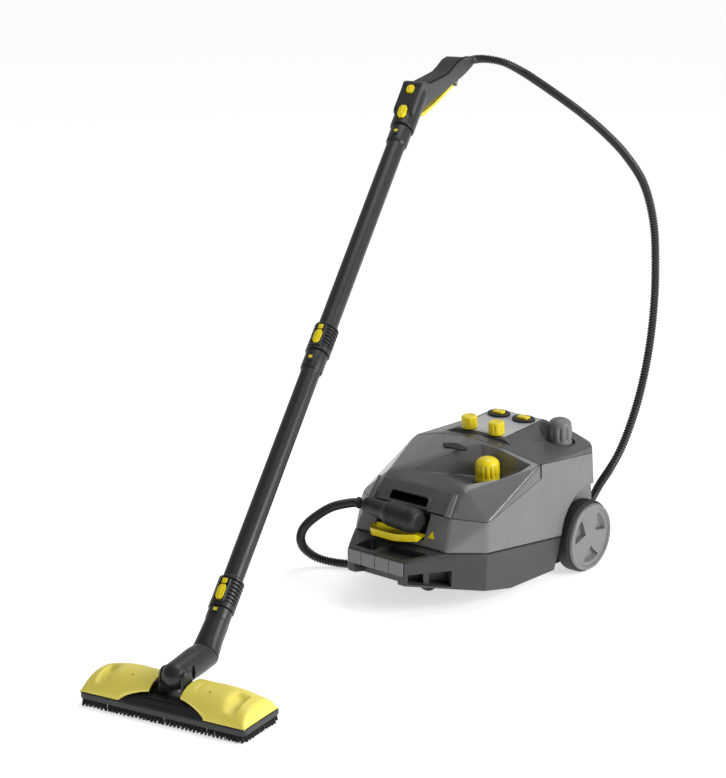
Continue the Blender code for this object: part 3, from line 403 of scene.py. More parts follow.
def extruded(outline, low, high, axis="x"):
    """A prism: an outline of (y, z) points along x, of (x, z) along y, or of (x, y) along z."""
    order = {"x": (2, 0, 1), "y": (0, 2, 1), "z": (0, 1, 2)}[axis]
    return loft([[tuple((u, v, w)[i] for i in order) for u, v in outline] for w in (low, high)])


def block(x, y, z):
    return extruded([(y[0], z[0]), (y[1], z[0]), (y[1], z[1]), (y[0], z[1])], x[0], x[1])


def both_sides(points):
    return [(x * side, y, z) for x, y, z in points for side in ((1, -1) if x else (1,))]


def hull(points):
    bm = bmesh.new()
    for point in points:
        bm.verts.new(point)
    made = bmesh.ops.convex_hull(bm, input=bm.verts)
    spare = made["geom_interior"] + made["geom_unused"]
    loose = {item for item in spare if isinstance(item, bmesh.types.BMVert)}
    bmesh.ops.delete(bm, geom=list(loose), context="VERTS")
    bmesh.ops.dissolve_limit(bm, angle_limit=radians(0.5), verts=bm.verts, edges=bm.edges)
    return closed(bm)


def rounded(bm, radius, steps=4, least=12):
    """The same body with its corners rounded off."""
    edges = [edge for edge in bm.edges if edge.calc_face_angle(0) > radians(least)]
    bmesh.ops.bevel(bm, geom=edges, offset=radius, offset_type="OFFSET", segments=steps, profile=0.5,
            affect="EDGES", clamp_overlap=True)
    return closed(bm)


def rounded_outline(outline, radius, steps=5):
    """A flat outline with its corners made round."""
    result = []
    for before, here, after in zip([outline[-1]] + outline[:-1], outline, outline[1:] + outline[:1]):
        here, a, b = Vector(here), Vector(before), Vector(after)
        reach = min(radius, (a - here).length / 2.05, (b - here).length / 2.05)
        start, end = here + (a - here).normalized() * reach, here + (b - here).normalized() * reach
        for i in range(steps + 1):
            t = i / steps
            result.append(tuple((1 - t) ** 2 * start + 2 * t * (1 - t) * here + t * t * end))
    return result


def rectangle(across, along, radius, steps=5):
    """A flat outline with round corners, between two pairs of limits."""
    (left, right), (low, high) = across, along
    return rounded_outline([(left, low), (right, low), (right, high), (left, high)], radius, steps)


def ellipse(across, along):
    turns = [2 * pi * i / 48 for i in range(48)]
    return [(across * cos(turn), along * sin(turn)) for turn in turns]


# ---- pieces
def in_scene(name, data):
    made = bpy.data.objects.new(name, data)
    bpy.context.scene.collection.objects.link(made)
    return made


def link(name, bm, place):
    mesh = bpy.data.meshes.new(name)
    bm.to_mesh(mesh)
    bm.free()
    made = in_scene(name, mesh)
    made.matrix_world = place
    return made


def taken_out(obj):
    """The body of an object, which leaves the scene."""
    bm = bmesh.new()
    bm.from_mesh(obj.data)
    bpy.data.objects.remove(obj)
    return bm


def settle(obj):
    """Makes the result of an object's modifiers its own mesh."""
    graph = bpy.context.evaluated_depsgraph_get()
    mesh = bpy.data.meshes.new_from_object(obj.evaluated_get(graph))
    obj.modifiers.clear()
    obj.data = mesh
    return obj


def combine(obj, operation, *bodies, place=None):
    """Cuts the bodies from the object, joins them to it, or keeps what they share."""
    for bm in bodies:
        other = link("other_body", bm, place or obj.matrix_world)
        modifier = obj.modifiers.new("combine", "BOOLEAN")
        modifier.operation = operation
        modifier.object = other
        settle(obj)
        bpy.data.objects.remove(other)
    return obj


def cut(obj, *bodies, place=None):
    return combine(obj, "DIFFERENCE", *bodies, place=place)


def finish_piece(obj, finish, body, replaced=(), slot=None, edge=0.0, steps=2, angle=32):
    """Gives a piece its shading, material, softened edges, body and slot."""
    obj.data.materials.clear()
    obj.data.materials.append(finish)
    obj.data.shade_smooth()
    obj.data.set_sharp_from_angle(angle=radians(angle))
    if edge:
        bevel = obj.modifiers.new("softened_edges", "BEVEL")
        bevel.width = edge
        bevel.segments = steps
        bevel.limit_method = "ANGLE"
        bevel.angle_limit = radians(angle)
    weighted = obj.modifiers.new("flat_faces", "WEIGHTED_NORMAL")
    weighted.keep_sharp = True
    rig.ride(obj, body)
    look = finish.name.removesuffix("_look")
    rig.slot(obj, slot or SLOTS.get(look, look))
    if replaced:
        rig.replaces(obj, *replaced)
    return obj


def piece(name, bm, place, finish, body, replaced=(), **more):
    return finish_piece(link(name, bm, place), finish, body, replaced, **more)


def from_cad(node, name, finish, body, edge, steps=3, slot=None):
    """A CAD node with softened edges."""
    bm = bmesh.new()
    bm.from_mesh(frame["nodes"][node].data)
    bmesh.ops.remove_doubles(bm, verts=bm.verts, dist=0.00001)
    bmesh.ops.dissolve_limit(bm, angle_limit=radians(1.0), verts=bm.verts, edges=bm.edges)
    return piece(name, bm, Matrix.Identity(4), finish, body, (node,), slot=slot, edge=edge, steps=steps)


def paint(finish, *nodes):
    """A new material on CAD nodes that keep their shape."""
    for node in nodes:
        obj = frame["nodes"][node]
        obj.data.materials.clear()
        obj.data.materials.append(finish)


# ---- camera and hose
CAMERA_AT = Vector((2.3898, -2.8176, 1.4241))
CAMERA_FALL, CAMERA_TURN, CAMERA_LENS = 15.5609, 40.5955, 107.5  # degrees, degrees, millimetres


def camera():
    data = bpy.data.cameras.new("camera")
    data.lens = CAMERA_LENS
    data.sensor_width = 36
    made = in_scene("camera", data)
    made.location = UNIT_AT + CAMERA_AT
    made.rotation_euler = (radians(90 - CAMERA_FALL), 0, radians(CAMERA_TURN))
    bpy.context.scene.camera = made


def smooth_route(points, step):
    """Points about one step apart on the smooth curve through the route's own points."""
    ends = [2 * Vector(points[0]) - Vector(points[1])] + [Vector(p) for p in points]
    ends.append(2 * ends[-1] - ends[-2])
    fine = []
    for a, b, c, d in zip(ends, ends[1:], ends[2:], ends[3:]):
        for i in range(20):
            t = i / 20
            bend = (2 * a - 5 * b + 4 * c - d) * t * t + (3 * b - a - 3 * c + d) * t**3
            fine.append(0.5 * (2 * b + (c - a) * t + bend))
    fine.append(ends[-2])
    spans = [(q - p).length for p, q in zip(fine, fine[1:])]
    count = max(2, round(sum(spans) / step))
    spacing = sum(spans) / count
    route, walked = [fine[0]], 0.0
    for here, there, span in zip(fine, fine[1:], spans):
        while len(route) < count and walked + span >= spacing * len(route):
            route.append(here.lerp(there, (spacing * len(route) - walked) / span))
        walked += span
    return route[:count] + [fine[-1]]


def steam_hose():
    route = smooth_route(HOSE_ROUTE, HOSE_RIB / 4)
    rings = []
    across = Vector((0, 0, 1))
    for i, spot in enumerate(route):
        along = (route[min(i + 1, len(route) - 1)] - route[max(i - 1, 0)]).normalized()
        across = (across - along * across.dot(along)).normalized()
        radius = HOSE_R - (0, 0.001, 0.0023, 0.001)[i % 4]
        rings.append(circle(spot, along, radius, 14, across))
    hose = piece("ribbed_hose", loft(rings), UNIT, HOSE_BLACK, "root", ("steam_hose",), angle=60)
    path = [UNIT @ spot for spot in route[::4]] + [UNIT @ route[-1]]
    length = sum((q - p).length for p, q in zip(path, path[1:]))
    plugs = [frame["nodes"][name] for name in ("plug_ferrule", "gun_ferrule")]
    return hose, path, length, plugs


# ---- the unit's shells
def seam(y):
    return SEAM_Z - SEAM_FALL * (y - FRONT_Y)


def rim(y):
    return RIM_Z - RIM_FALL * (y - SILL[0])


UPPER_SHAPE = both_sides([
    (0.1, FRONT_Y, SEAM_Z), (HALF_WIDTH, CORNER_Y, seam(CORNER_Y)),
    (HALF_WIDTH, REAR_Y - 0.018, seam(REAR_Y)), (HALF_WIDTH - 0.018, REAR_Y, seam(REAR_Y)),
    (0.09, 0.093, HOOD_Z), (0.139, *HOOD_CORNER), (0.139, *SILL), (0.085, 0.14, 0.205),
    (0.139, 0.278, 0.227), (0.137, 0.436, 0.2245), (0.121, 0.453, 0.2245), (0.08, 0.455, 0.237),
    (0.07, 0.268, 0.2475), (0, 0.118, 0.2), (0, 0.16, 0.227), (0, 0.2, 0.243),
    (0, ARCH_MIDDLE_Y, 0.2545), (0, 0.456, 0.244)
])
BASE_SHAPE = both_sides([
    (BUMPER_HALF, BUMPER_FACE_Y, BUMPER_TOP), (BUMPER_HALF, BUMPER_FACE_Y, 0.062),
    (0.101, FRONT_Y, SEAM_Z - GAP), (HALF_WIDTH, CORNER_Y, seam(CORNER_Y) - GAP),
    (HALF_WIDTH, REAR_Y - 0.018, seam(REAR_Y) - GAP),
    (HALF_WIDTH - 0.018, REAR_Y, seam(REAR_Y) - GAP), (0.139, CORNER_Y, 0.037),
    (0.139, 0.2, 0.022), (0.139, 0.33, 0.02), (0.124, 0.455, 0.02)
])
SHELL_CENTRE = Vector((0, 0.266, 0.15))
SHELL_INSET = (0.974, 0.981, 0.955)


def inset(points):
    centred = [zip(point, SHELL_CENTRE, SHELL_INSET) for point in points]
    return [tuple(c + (p - c) * scale for p, c, scale in triples) for triples in centred]


# Where the valley's flanks meet the hood: front left, front, right side, then along the arch.
SCOOP_EDGE = [
    (-0.04, 0.143, 0.2125), (0.081, 0.15, 0.21), (0.112, 0.2, 0.214),
    (0.126, 0.24, 0.221), (0.131, 0.266, 0.229), (0.03, 0.25, 0.252),
]


def arch_y(x):
    return ARCH_MIDDLE_Y + ARCH_SWEEP * (x / 0.139) ** 2


def scoop(grow=0.0):
    """The valley round the boiler cap: a round floor, with flanks that run up to a wide V in the hood."""
    middle = Vector((*BOILER_AT, 0))
    low = circle((*BOILER_AT, SCOOP_FLOOR - grow), (0, 0, 1), 0.028 + grow, 40)
    edge = []
    for spot in SCOOP_EDGE:
        out = (Vector((spot[0], spot[1], 0)) - middle).normalized() * grow
        edge.append(Vector(spot) + out - Vector((0, 0, 1.1 * grow)))
    return hull(low + edge + [(x, y, ABOVE) for x, y, _ in edge])


def pocket(grow=0.0):
    low = circle((*TANK_CAP_AT, POCKET_FLOOR - grow), (0, 0, 1), 0.027 + grow)
    high = circle((*TANK_CAP_AT, ABOVE), (0, 0, 1), 0.038 + grow)
    return loft([low, high])


def wheel_well(side, grow=0.0):
    turns = [radians(172 - 172 * i / 24) for i in range(25)]
    arc = [(ARCH_Y + (ARCH_R + grow) * cos(turn), ARCH_Z + (ARCH_R + grow) * sin(turn)) for turn in turns]
    outline = [(0.317 - grow, -0.01)] + arc + [(ARCH_Y + ARCH_R + grow, -0.01)]
    return extruded(outline, side * (WELL_X - grow), side * BEYOND)


def upper_hollow():
    inner = inset(UPPER_SHAPE)
    hollow = link("hollow", hull(inner + [(x, y, z - 0.02) for x, y, z in inner[:8]]), UNIT)
    cut(hollow, scoop(WALL), pocket(WALL), wheel_well(1, WALL), wheel_well(-1, WALL))
    return taken_out(hollow)


def arm_opening(side):
    """Cutters for the opening in a front corner: a shallow frame, and deep windows beside its post."""
    along, inward = Vector((0.0795, 0.124)).normalized(), Vector((-0.124, 0.0795)).normalized()

    def window(start, end, depth, rim_width=0.0):
        points = []
        for reach in (start, end):
            for out in (-0.01, depth):
                x, y = Vector((BUMPER_HALF, BUMPER_FACE_Y)) + along * reach + inward * out
                low, high = 0.0665 - 0.17 * reach + rim_width, 0.0815 - rim_width
                points += [(side * x, y, low), (side * x, y, high)]
        return hull(points)

    return window(0.006, 0.084, 0.007), window(0.007, 0.036, 0.028, 0.001), window(0.046, 0.083, 0.028, 0.001)


def base_shell():
    base = link("base_shell", rounded(hull(BASE_SHAPE), 0.0028, 3), UNIT)
    hollow = both_sides([
        (0.085, 0.08, 0.0785), (0.1355, 0.13, 0.042), (0.1355, 0.2, 0.0265), (0.1355, 0.33, 0.0245),
        (0.12, 0.452, 0.0245), (0.092, 0.08, 0.25), (0.138, 0.132, 0.25), (0.138, REAR_Y - 0.02, 0.25),
        (0.121, REAR_Y - 0.004, 0.25)
    ])
    inside = link("hollow", hull(hollow), UNIT)
    cut(inside, wheel_well(1, WALL), wheel_well(-1, WALL))
    column = rod(CASTOR_WELL_R + WALL, 0, 0.0745)
    cut(inside, column, place=placed((0, CASTOR_Y, 0)))
    cut(base, taken_out(inside), wheel_well(1), wheel_well(-1))
    cut(base, rod(AXLE_R + GAP, -BEYOND, BEYOND, "x"), place=placed((0, WHEEL_Y, WHEEL_R)))
    cut(base, rod(CASTOR_WELL_R, -0.01, CASTOR_ROOF), place=placed((0, CASTOR_Y, 0)))
    cut(base, block((-0.048, 0.048), (-0.01, 0.028), (0.05, 0.079)))
    slot = rounded_outline([(-0.058, 0.016), (-0.014, 0.016), (-0.014, 0.052), (-0.05, 0.052)], 0.006)
    cut(base, extruded(slot, 0.0765, 0.12, "z"))
    for side in (1, -1):
        cut(base, *arm_opening(side))
    tray = rounded_outline([(-0.006, 0.013), (0.056, 0.013), (0.075, 0.05), (-0.006, 0.05)], 0.005)
    cut(base, extruded(tray, 0.0985, 0.12, "z"))
    finish_piece(base, BASE_GREY, "root", ("base_tray",), edge=0.0009)


def upper_shells():
    slope = [(-0.1, HOOD_Z), (0.093, HOOD_Z), HOOD_CORNER, SILL]
    lower = [(y, z - SEAM_GAP / 2) for y, z in slope]
    lower += [(SILL[0] + SEAM_GAP, SILL[1]), (SILL[0] + SEAM_GAP, RIM_Z - SEAM_GAP)]
    lower += [(0.6, rim(0.6) - SEAM_GAP), (0.6, seam(0.6)), (-0.1, seam(-0.1))]
    upper = [(y, z + SEAM_GAP / 2) for y, z in slope] + [(SILL[0], 0.4), (-0.1, 0.4)]
    steps = [-BEYOND + 2 * BEYOND * i / 40 for i in range(41)]
    before = [(x, arch_y(x) - SEAM_GAP / 2) for x in steps] + [(BEYOND, -0.1), (-BEYOND, -0.1)]
    behind = [(x, arch_y(x) + SEAM_GAP / 2) for x in steps] + [(BEYOND, 0.6), (-BEYOND, 0.6)]
    over = [(0.2, rim(0.2)), (0.6, rim(0.6)), (0.6, 0.4), (0.2, 0.4)]

    def shell(name):
        return link(name, rounded(hull(UPPER_SHAPE), 0.0045, 4, 6), UNIT)

    housing = combine(shell("housing_shell"), "INTERSECT", extruded(lower, -BEYOND, BEYOND))
    cut(housing, upper_hollow(), wheel_well(1), wheel_well(-1))
    mouth = rectangle((RECESS_LEFT, RECESS_RIGHT), (RECESS_Z[0], RECESS_Z[1]), 0.004)
    cut(housing, extruded(mouth, 0, 0.12, "y"))
    cut(housing, rod(0.0083, -0.03, 0.03, "y"), place=placed((-0.07, REAR_Y, 0.115)))
    finish_piece(housing, LIGHT_GREY, "root", ("main_housing",), edge=0.0007)

    front = extruded(before, 0, 0.4, "z")
    hood = combine(shell("hood_shell"), "INTERSECT", extruded(upper, -BEYOND, BEYOND), front)
    cut(hood, upper_hollow(), scoop())
    cut(hood, block((-FASCIA_HALF - GAP, FASCIA_HALF + GAP), (0, 0.1204), (0.15, 0.3)))
    cut(hood, rod(NECK_R + GAP, 0.15, 0.25), place=placed((*BOILER_AT, 0)))
    finish_piece(hood, MID_GREY, "root", ("hood",), edge=0.0008)

    rear = extruded(behind, 0, 0.4, "z")
    console = combine(shell("console_shell"), "INTERSECT", extruded(over, -BEYOND, BEYOND), rear)
    cut(console, upper_hollow())
    deck_shape = both_sides([
        (0.054, *DECK_FRONT), (0.057, *DECK_REAR), (0.088, 0.282, 0.24), (0.085, 0.432, 0.24),
        (0.05, 0.3, 0.234), (0.05, 0.42, 0.234)
    ])
    combine(console, "UNION", rounded(hull(deck_shape), 0.0025, 3))
    cut(console, pocket())
    cut(console, rod(NECK_R + GAP, 0.2, 0.25), place=placed((*TANK_CAP_AT, 0)))
    finish_piece(console, CONSOLE_GREY, "root", ("control_console",), edge=0.0008)


# ---- the unit's trim
def front_panel():
    (foot_y, foot_z), (head_y, head_z) = FASCIA_FOOT, FASCIA_HEAD
    along = Vector((head_y - foot_y, head_z - foot_z))
    height = along.length
    face = placed((0, (foot_y + head_y) / 2, (foot_z + head_z) / 2), (-along.angle(Vector((0, 1))), 0, 0))
    sheet = block((-FASCIA_HALF, FASCIA_HALF), (0.0002, 0.0026), (-height / 2, height / 2))
    panel = link("fascia_panel", sheet, face)

    def opening(grow, low, high, inward, radius):
        corners = [(SLOT_LEFT - grow, low), (SLOT_RIGHT + grow, low)]
        return rounded_outline(corners + [(SLOT_RIGHT + inward, high), (SLOT_LEFT - inward, high)], radius)

    hole = opening(0, -0.014, 0.0033, -0.003, 0.006)
    cut(panel, extruded(hole, -0.02, 0.02, "y"))
    finish_piece(panel, MID_GREY, "root", ("front_fascia",), edge=0.0006)

    outer = opening(0.005, -0.0175, 0.0078, 0.002, 0.009)
    collar = link("handle_frame", extruded(outer, -0.0018, 0.0001, "y"), face)
    cut(collar, extruded(hole, -0.02, 0.02, "y"))
    finish_piece(collar, FRAME_GREY, "root", edge=0.0007)
    brow = both_sides([(0.0772, 0.116, 0.1945), (0.0772, 0.1222, 0.195), (0.0772, 0.1195, 0.1988)])
    brow += [(0, 0.116, 0.1945), (0, 0.1225, 0.1985), (0, 0.12, 0.2012)]
    piece("fascia_brow", hull(brow), UNIT, MID_GREY, "root", edge=0.0004)
    # The ridges beside the fascia take the lighter grey: a painted highlight on the hood's plastic.
    for side, name in ((-1, "left"), (1, "right")):
        low = [(side * 0.079, 0.0905, 0.166), (side * 0.09, 0.0925, 0.166)]
        high = [(side * 0.079, 0.115, 0.2), (side * 0.087, 0.117, 0.2)]
        points = low + high + [(x, y - 0.003, z + 0.0022) for x, y, z in low + high]
        piece(f"hood_ridge_{name}", rounded(hull(points), 0.0012, 2), UNIT, RIDGE_HIGHLIGHT_AND_PAD_GREY, "root")
    # The handle pocket is base plastic, painted near-black: painted shade in the recess.
    from_cad("handle_pocket", "handle_pocket_cup", RECESS_SHADE_BLACK, "root", 0.0006, slot="base_plastic")


def bumper():
    for i in range(4):
        x = -0.0458 + 0.0305 * i
        outline = rectangle((x - 0.0147, x + 0.0147), (0.0797, 0.1028), 0.0022)
        pad = link(f"bumper_pad_{i + 1}", extruded(outline, 0.0006, BUMPER_FACE_Y - GAP, "y"), UNIT)
        replaced = ("bumper_strip",) if i == 0 else ()
        finish_piece(pad, RIDGE_HIGHLIGHT_AND_PAD_GREY, "root", replaced, slot="housing_plastic", edge=0.0008, steps=3)


def fluted(profile, flutes, depth, low, high, sides):
    """A turned cap whose side has rounded flutes between two heights."""
    rings = []
    for radius, height in profile:
        fade = max(0.0, min(1.0, (height - low) / 0.003, (high - height) / 0.003))

        def reach(turn, r=radius, f=fade):
            return r - depth * f * (0.5 - 0.5 * cos(flutes * turn)) ** 3

        rings.append(circle((0, 0, height), (0, 0, 1), reach, sides))
    return loft(rings)


def screw_caps():
    for node, at, floor_z, height, finish, body, flutes in (
        ("boiler_cap", BOILER_AT, SCOOP_FLOOR, 0.045, YELLOW, "boiler_cap_top", 14),
        ("tank_cap", TANK_CAP_AT, POCKET_FLOOR, 0.05, LIGHT_GREY, "tank_cap_top", 10),
    ):
        side = [(0.019, 0.0012), (0.0208, 0.0016), (0.0216, 0.004), (0.0216, 0.0075), (0.0206, 0.0088)]
        top = height - 0.013
        side += [(0.0206 + 0.001 * sin(pi * t / 12), 0.0088 + (top - 0.0088) * t / 12) for t in range(1, 13)]
        dome = [(0.0206 * cos(pi * t / 18), top + (height - top) * sin(pi * t / 18)) for t in range(1, 9)]
        bm = fluted(side + dome, flutes, 0.0026, 0.01, top - 0.001, flutes * 14)
        cap = link(f"fluted_{node}", bm, placed((*at, floor_z)))
        cut(cap, rod(NECK_R + 0.0008, -0.01, 0.0125))
        finish_piece(cap, finish, body, (node,), angle=42)


def deck_controls():
    plate = rounded_outline([(-0.05, -0.05), (0.05, -0.05), (0.052, 0.06), (-0.052, 0.06)], 0.006)
    piece("deck_plate", extruded(plate, GAP, 0.0013, "z"), deck(0, 0.34), SILVER, "root",
          ("console_plate",), edge=0.0004)
    knobs = (("steam_volume_knob", -1, "steam_knob"), ("temperature_knob", 1, "temperature_dial"))
    for name, side, body in knobs:
        profile = [(0.0128, 0.0018), (0.0136, 0.0024), (0.014, 0.004)]
        profile += [(0.0142, 0.005 + 0.0155 * t / 6) for t in range(7)]
        quarter = [pi * t / 12 for t in range(1, 7)]
        profile += [(0.0142 - 0.003 * (1 - cos(a)), 0.0205 + 0.0038 * sin(a)) for a in quarter]
        profile += [(0.008, 0.0243), (0.0075, 0.0238)]
        bm = fluted(profile, 8, 0.0013, 0.0035, 0.0225, 96)
        piece(f"fluted_{name}", bm, deck(side * KNOB_AT[0], KNOB_AT[1]), YELLOW, body, (name,), angle=42)
    for name, side, body in (("power_switch", -1, "power_rocker"), ("heater_switch", 1, "heater_rocker")):
        place = deck(side * SWITCH_AT[0], SWITCH_AT[1])
        bezel = "switch_bezel_left" if side < 0 else "switch_bezel_right"
        outer = ellipse(0.0225, 0.0165)
        room = rectangle((-0.0125, 0.0125), (-0.008, 0.008), 0.0015)
        base = link(f"{bezel}_frame", extruded(outer, 0.0016, 0.0056, "z"), place)
        cut(base, extruded(room, 0.003, 0.02, "z"))
        finish_piece(base, DARK, "root", (bezel,), edge=0.0008, steps=3)
        shape = rectangle((-0.0117, 0.0117), (-0.0072, 0.0072), 0.005)
        rings = [[(x * s, y * s, z) for x, y in shape] for s, z in
                ((0.93, 0.0046), (1.0, 0.0054), (1.0, 0.0072), (0.97, 0.0082), (0.86, 0.0089), (0.6, 0.009))]
        piece(f"oval_{name}", loft(rings), place, YELLOW, body, (name,), angle=50)


def socket_and_plug():
    # The socket's cup is painted a little darker than soft black: painted shade in the recess.
    from_cad("socket_panel", "socket_cup", RECESS_SHADE_BLACK, "root", 0.0006)
    paint(STEEL, "steam_socket", "rear_axle", "castor_axle", "boiler")
    (right_x, right_z), (left_x, left_z) = PLUG_RIGHT, PLUG_LEFT
    tilt = (left_z - right_z) / (right_x - left_x)
    length = right_x - left_x
    place = placed((right_x, PLUG_Y, right_z), (0, tilt, 0))
    shape = [(0.012, -length), (0.0138, -length + 0.0012), (0.0142, -length + 0.004)]
    shape += [(0.015, -0.088), (0.0163, -0.0765)]
    flare = [i / 6 for i in range(1, 7)]
    shape += [(0.0163 + 0.0062 * t * t * (3 - 2 * t), -0.0765 + 0.0165 * t) for t in flare]
    for i in range(7):
        x = -0.056 + 0.0052 * i
        shape += [(0.0225, x), (0.0214, x + 0.0008), (0.0214, x + 0.0018), (0.0225, x + 0.0026)]
    shape += [(0.0225, -0.014)]
    quarter = [pi * i / 16 for i in range(1, 9)]
    shape += [(0.0225 - 0.0105 * (1 - cos(t)), -0.014 + 0.014 * sin(t)) for t in quarter]
    body = link("plug_grip", turned(shape, "x", 64), place)
    stem = rod(0.006, 0.06, 0.112, "y", 24)
    combine(body, "UNION", stem, place=placed((SOCKET_X, 0, SOCKET_Z)))
    finish_piece(body, DARK, "root", ("plug_body",), slot="tool_plastic", edge=0.0003, angle=38)
    paint(RUBBER, "plug_ferrule", "gun_ferrule")

    steps, rows = 30, 12
    rings = []
    for i in range(steps + 1):
        u = i / steps
        x = -0.057 + 0.1005 * u
        right, left = max(0.0, (u - 0.62) / 0.38) ** 1.5, max(0.0, (0.2 - u) / 0.2) ** 1.6
        reach = 0.045 * (1 - 0.5 * right - 0.55 * left)
        upper, lower = [], []
        for j in range(rows + 1):
            t = j / rows
            groove = -0.003 * exp(-(((t - 0.45) / 0.2) ** 2))
            lip = 0.0052 * t**3
            upper.append((x, 0.002 - (reach + 0.001) * t, 0.002 + groove + lip))
            lower.append((x, 0.002 - (reach - 0.001) * t, -0.0016 - 0.004 * t))
        rings.append(upper + lower[::-1])
    flap = link("flap_tongue", loft(rings), placed((0, *FLAP_HINGE)))
    combine(flap, "UNION", rod(0.002, -0.0622, 0.0477, "x", 24))
    finish_piece(flap, YELLOW, "socket_cover", ("socket_flap",), edge=0.0006, angle=50)


def small_trim():
    badge = extruded(ellipse(0.027, 0.0075), -0.0015, 0.0012, "z")
    bmesh.ops.bisect_plane(badge, geom=badge.verts[:] + badge.edges[:] + badge.faces[:], plane_co=(0, 0, 0),
            plane_no=(1, 0, 0))
    for vert in badge.verts:
        vert.co.z -= 0.105 * abs(vert.co.x)
    piece("blank_badge", badge, placed((0, 0.215, 0.24785), (radians(17), 0, 0)), DARK, "root",
          ("name_badge",), edge=0.0004)
    from_cad("marker_plate", "blank_marker", YELLOW, "root", 0.0002, 1)
    from_cad("cable_gland", "rear_cable_gland", DARK, "root", 0.0006)
    paint(COPPER, "heater_ring", "steam_pipe")
    paint(WHITE, "water_tank", "boiler_thermostat")
    paint(DARK, "feed_pump")
    paint(GREEN, "control_board")
    paint(RUBBER, "boiler_cap_seal", "tank_cap_seal")


# ---- wheels
def wheels():
    for side, name in ((-1, "left"), (1, "right")):
        place = placed((0, WHEEL_Y, WHEEL_R))
        tyre = [(0.049, 0.1272), (0.06, 0.1272)]
        tyre += [(0.061 + 0.004 * sin(t), 0.1312 - 0.004 * cos(t)) for t in [pi * i / 12 for i in range(7)]]
        for groove in (0.1345, 0.14, 0.1455):
            tyre += [(WHEEL_R, groove - 0.0006), (WHEEL_R - 0.0006, groove), (WHEEL_R, groove + 0.0006)]
        tyre += [(WHEEL_R, 0.149), (0.0642, 0.1512), (0.0628, 0.1528), (0.0612, 0.1537), (0.049, 0.1537)]
        bm = turned([(radius, side * x) for radius, x in tyre], "x", 96, ring=True)
        piece(f"tyre_{name}", bm, place, RUBBER, f"{name}_wheel", (f"wheel_tyre_{name}",), angle=50)

        hub = [(0.012, 0.124), (0.012, 0.13), (0.0487, 0.13), (0.0487, 0.1541), (0.0605, 0.1541)]
        hub += [(0.0607, 0.156), (0.0598, 0.1588), (0.0582, 0.16), (0.0556, 0.16), (0.0538, 0.1592)]
        hub += [(0.0526, 0.1574), (0.05, 0.157)]
        hub += [(0.03, 0.1576), (0.01, 0.158)]
        wheel = link(f"hub_{name}", turned([(r, side * x) for r, x in hub], "x", 96), place)
        cut(wheel, rod(AXLE_R + GAP, side * 0.1, side * 0.153, "x", 32))
        for middle in [radians(35 + 120 * k) for k in range(3)]:
            spread = [middle + radians(-29 + 58 * i / 12) for i in range(13)]

            def window(shrink):
                rim_arc = [((0.0475 - shrink) * cos(a), (0.0475 - shrink) * sin(a)) for a in spread]
                return rim_arc + [((0.015 + shrink) * cos(middle), (0.015 + shrink) * sin(middle))]

            rings = [[(side * x, u, v) for u, v in window(shrink)] for x, shrink in
                    ((0.164, -0.001), (0.1545, 0.003), (0.15, 0.0075))]
            cut(wheel, loft(rings))
        finish_piece(wheel, HUB_GREY, f"{name}_wheel", (f"wheel_hub_{name}",), edge=0.0007, steps=3)
    from_cad("castor_fork", "castor_bracket", DARK, "castor_frame", 0.0012)
    at = placed((0, CASTOR_Y + 0.018, 0.022))
    tread = [(0.0028, -0.009), (0.017, -0.009), (0.019, -0.0084)]
    tread += [(0.019 + 0.003 * cos(t), 0.0055 * sin(t) * 1.4) for t in [pi * (i - 4) / 10 for i in range(9)]]
    tread += [(0.019, 0.0084), (0.017, 0.009), (0.0028, 0.009)]
    piece("castor_tread", turned(tread, "x", 64, ring=True), at, RUBBER, "castor_roller", ("castor_wheel",),
          slot="wheel_plastic", angle=45)


# ---- lance
def ribs(start, end, count, outer, inner):
    """A profile of rounded ribs between two heights."""
    profile, pitch = [], (end - start) / count
    for i in range(count):
        z = start + pitch * i
        profile += [(inner, z), (outer, z + pitch * 0.22)]
        profile += [(outer, z + pitch * 0.62), (inner, z + pitch * 0.84)]
    return profile + [(inner, end)]


def push_button(name, node, place, along, half, collar_r, proud, body):
    """A chamfered push button with a ridge along its middle."""
    wide, long = half
    face, foot = -collar_r - proud, -collar_r + 0.0015
    x, z = wide * 0.55, long * 0.55
    corners = [(-wide, -z), (-x, -long), (x, -long), (wide, -z), (wide, z), (x, long), (-x, long), (-wide, z)]
    plan = rounded_outline(corners, 0.0012, 3)
    rings = [[(x * s, y, z * s) for x, z in plan] for s, y in
            ((1.0, foot), (1.0, face + 0.0026), (0.93, face + 0.0014), (0.78, face + 0.0009))]
    button = link(name, loft(rings), place @ Matrix.Translation((0, 0, along)))
    ridge = rounded(block((-0.0011, 0.0011), (face, face + 0.004), (-long * 0.66, long * 0.66)), 0.0006, 2)
    combine(button, "UNION", ridge)
    finish_piece(button, YELLOW, body, (node,), angle=38)


def lug(low, high):
    """The catch on the upper side of a tube's end."""
    return rounded(block((-0.0045, 0.0045), (-0.0222, -0.015), (low, high)), 0.0012, 2)


def mark(name, place, low, high):
    """The yellow mark on a catch."""
    face = rounded(block((-0.003, 0.003), (-0.0226, -0.0218), (low, high)), 0.0003, 1)
    piece(f"{name}_mark", face, place, YELLOW, "root")


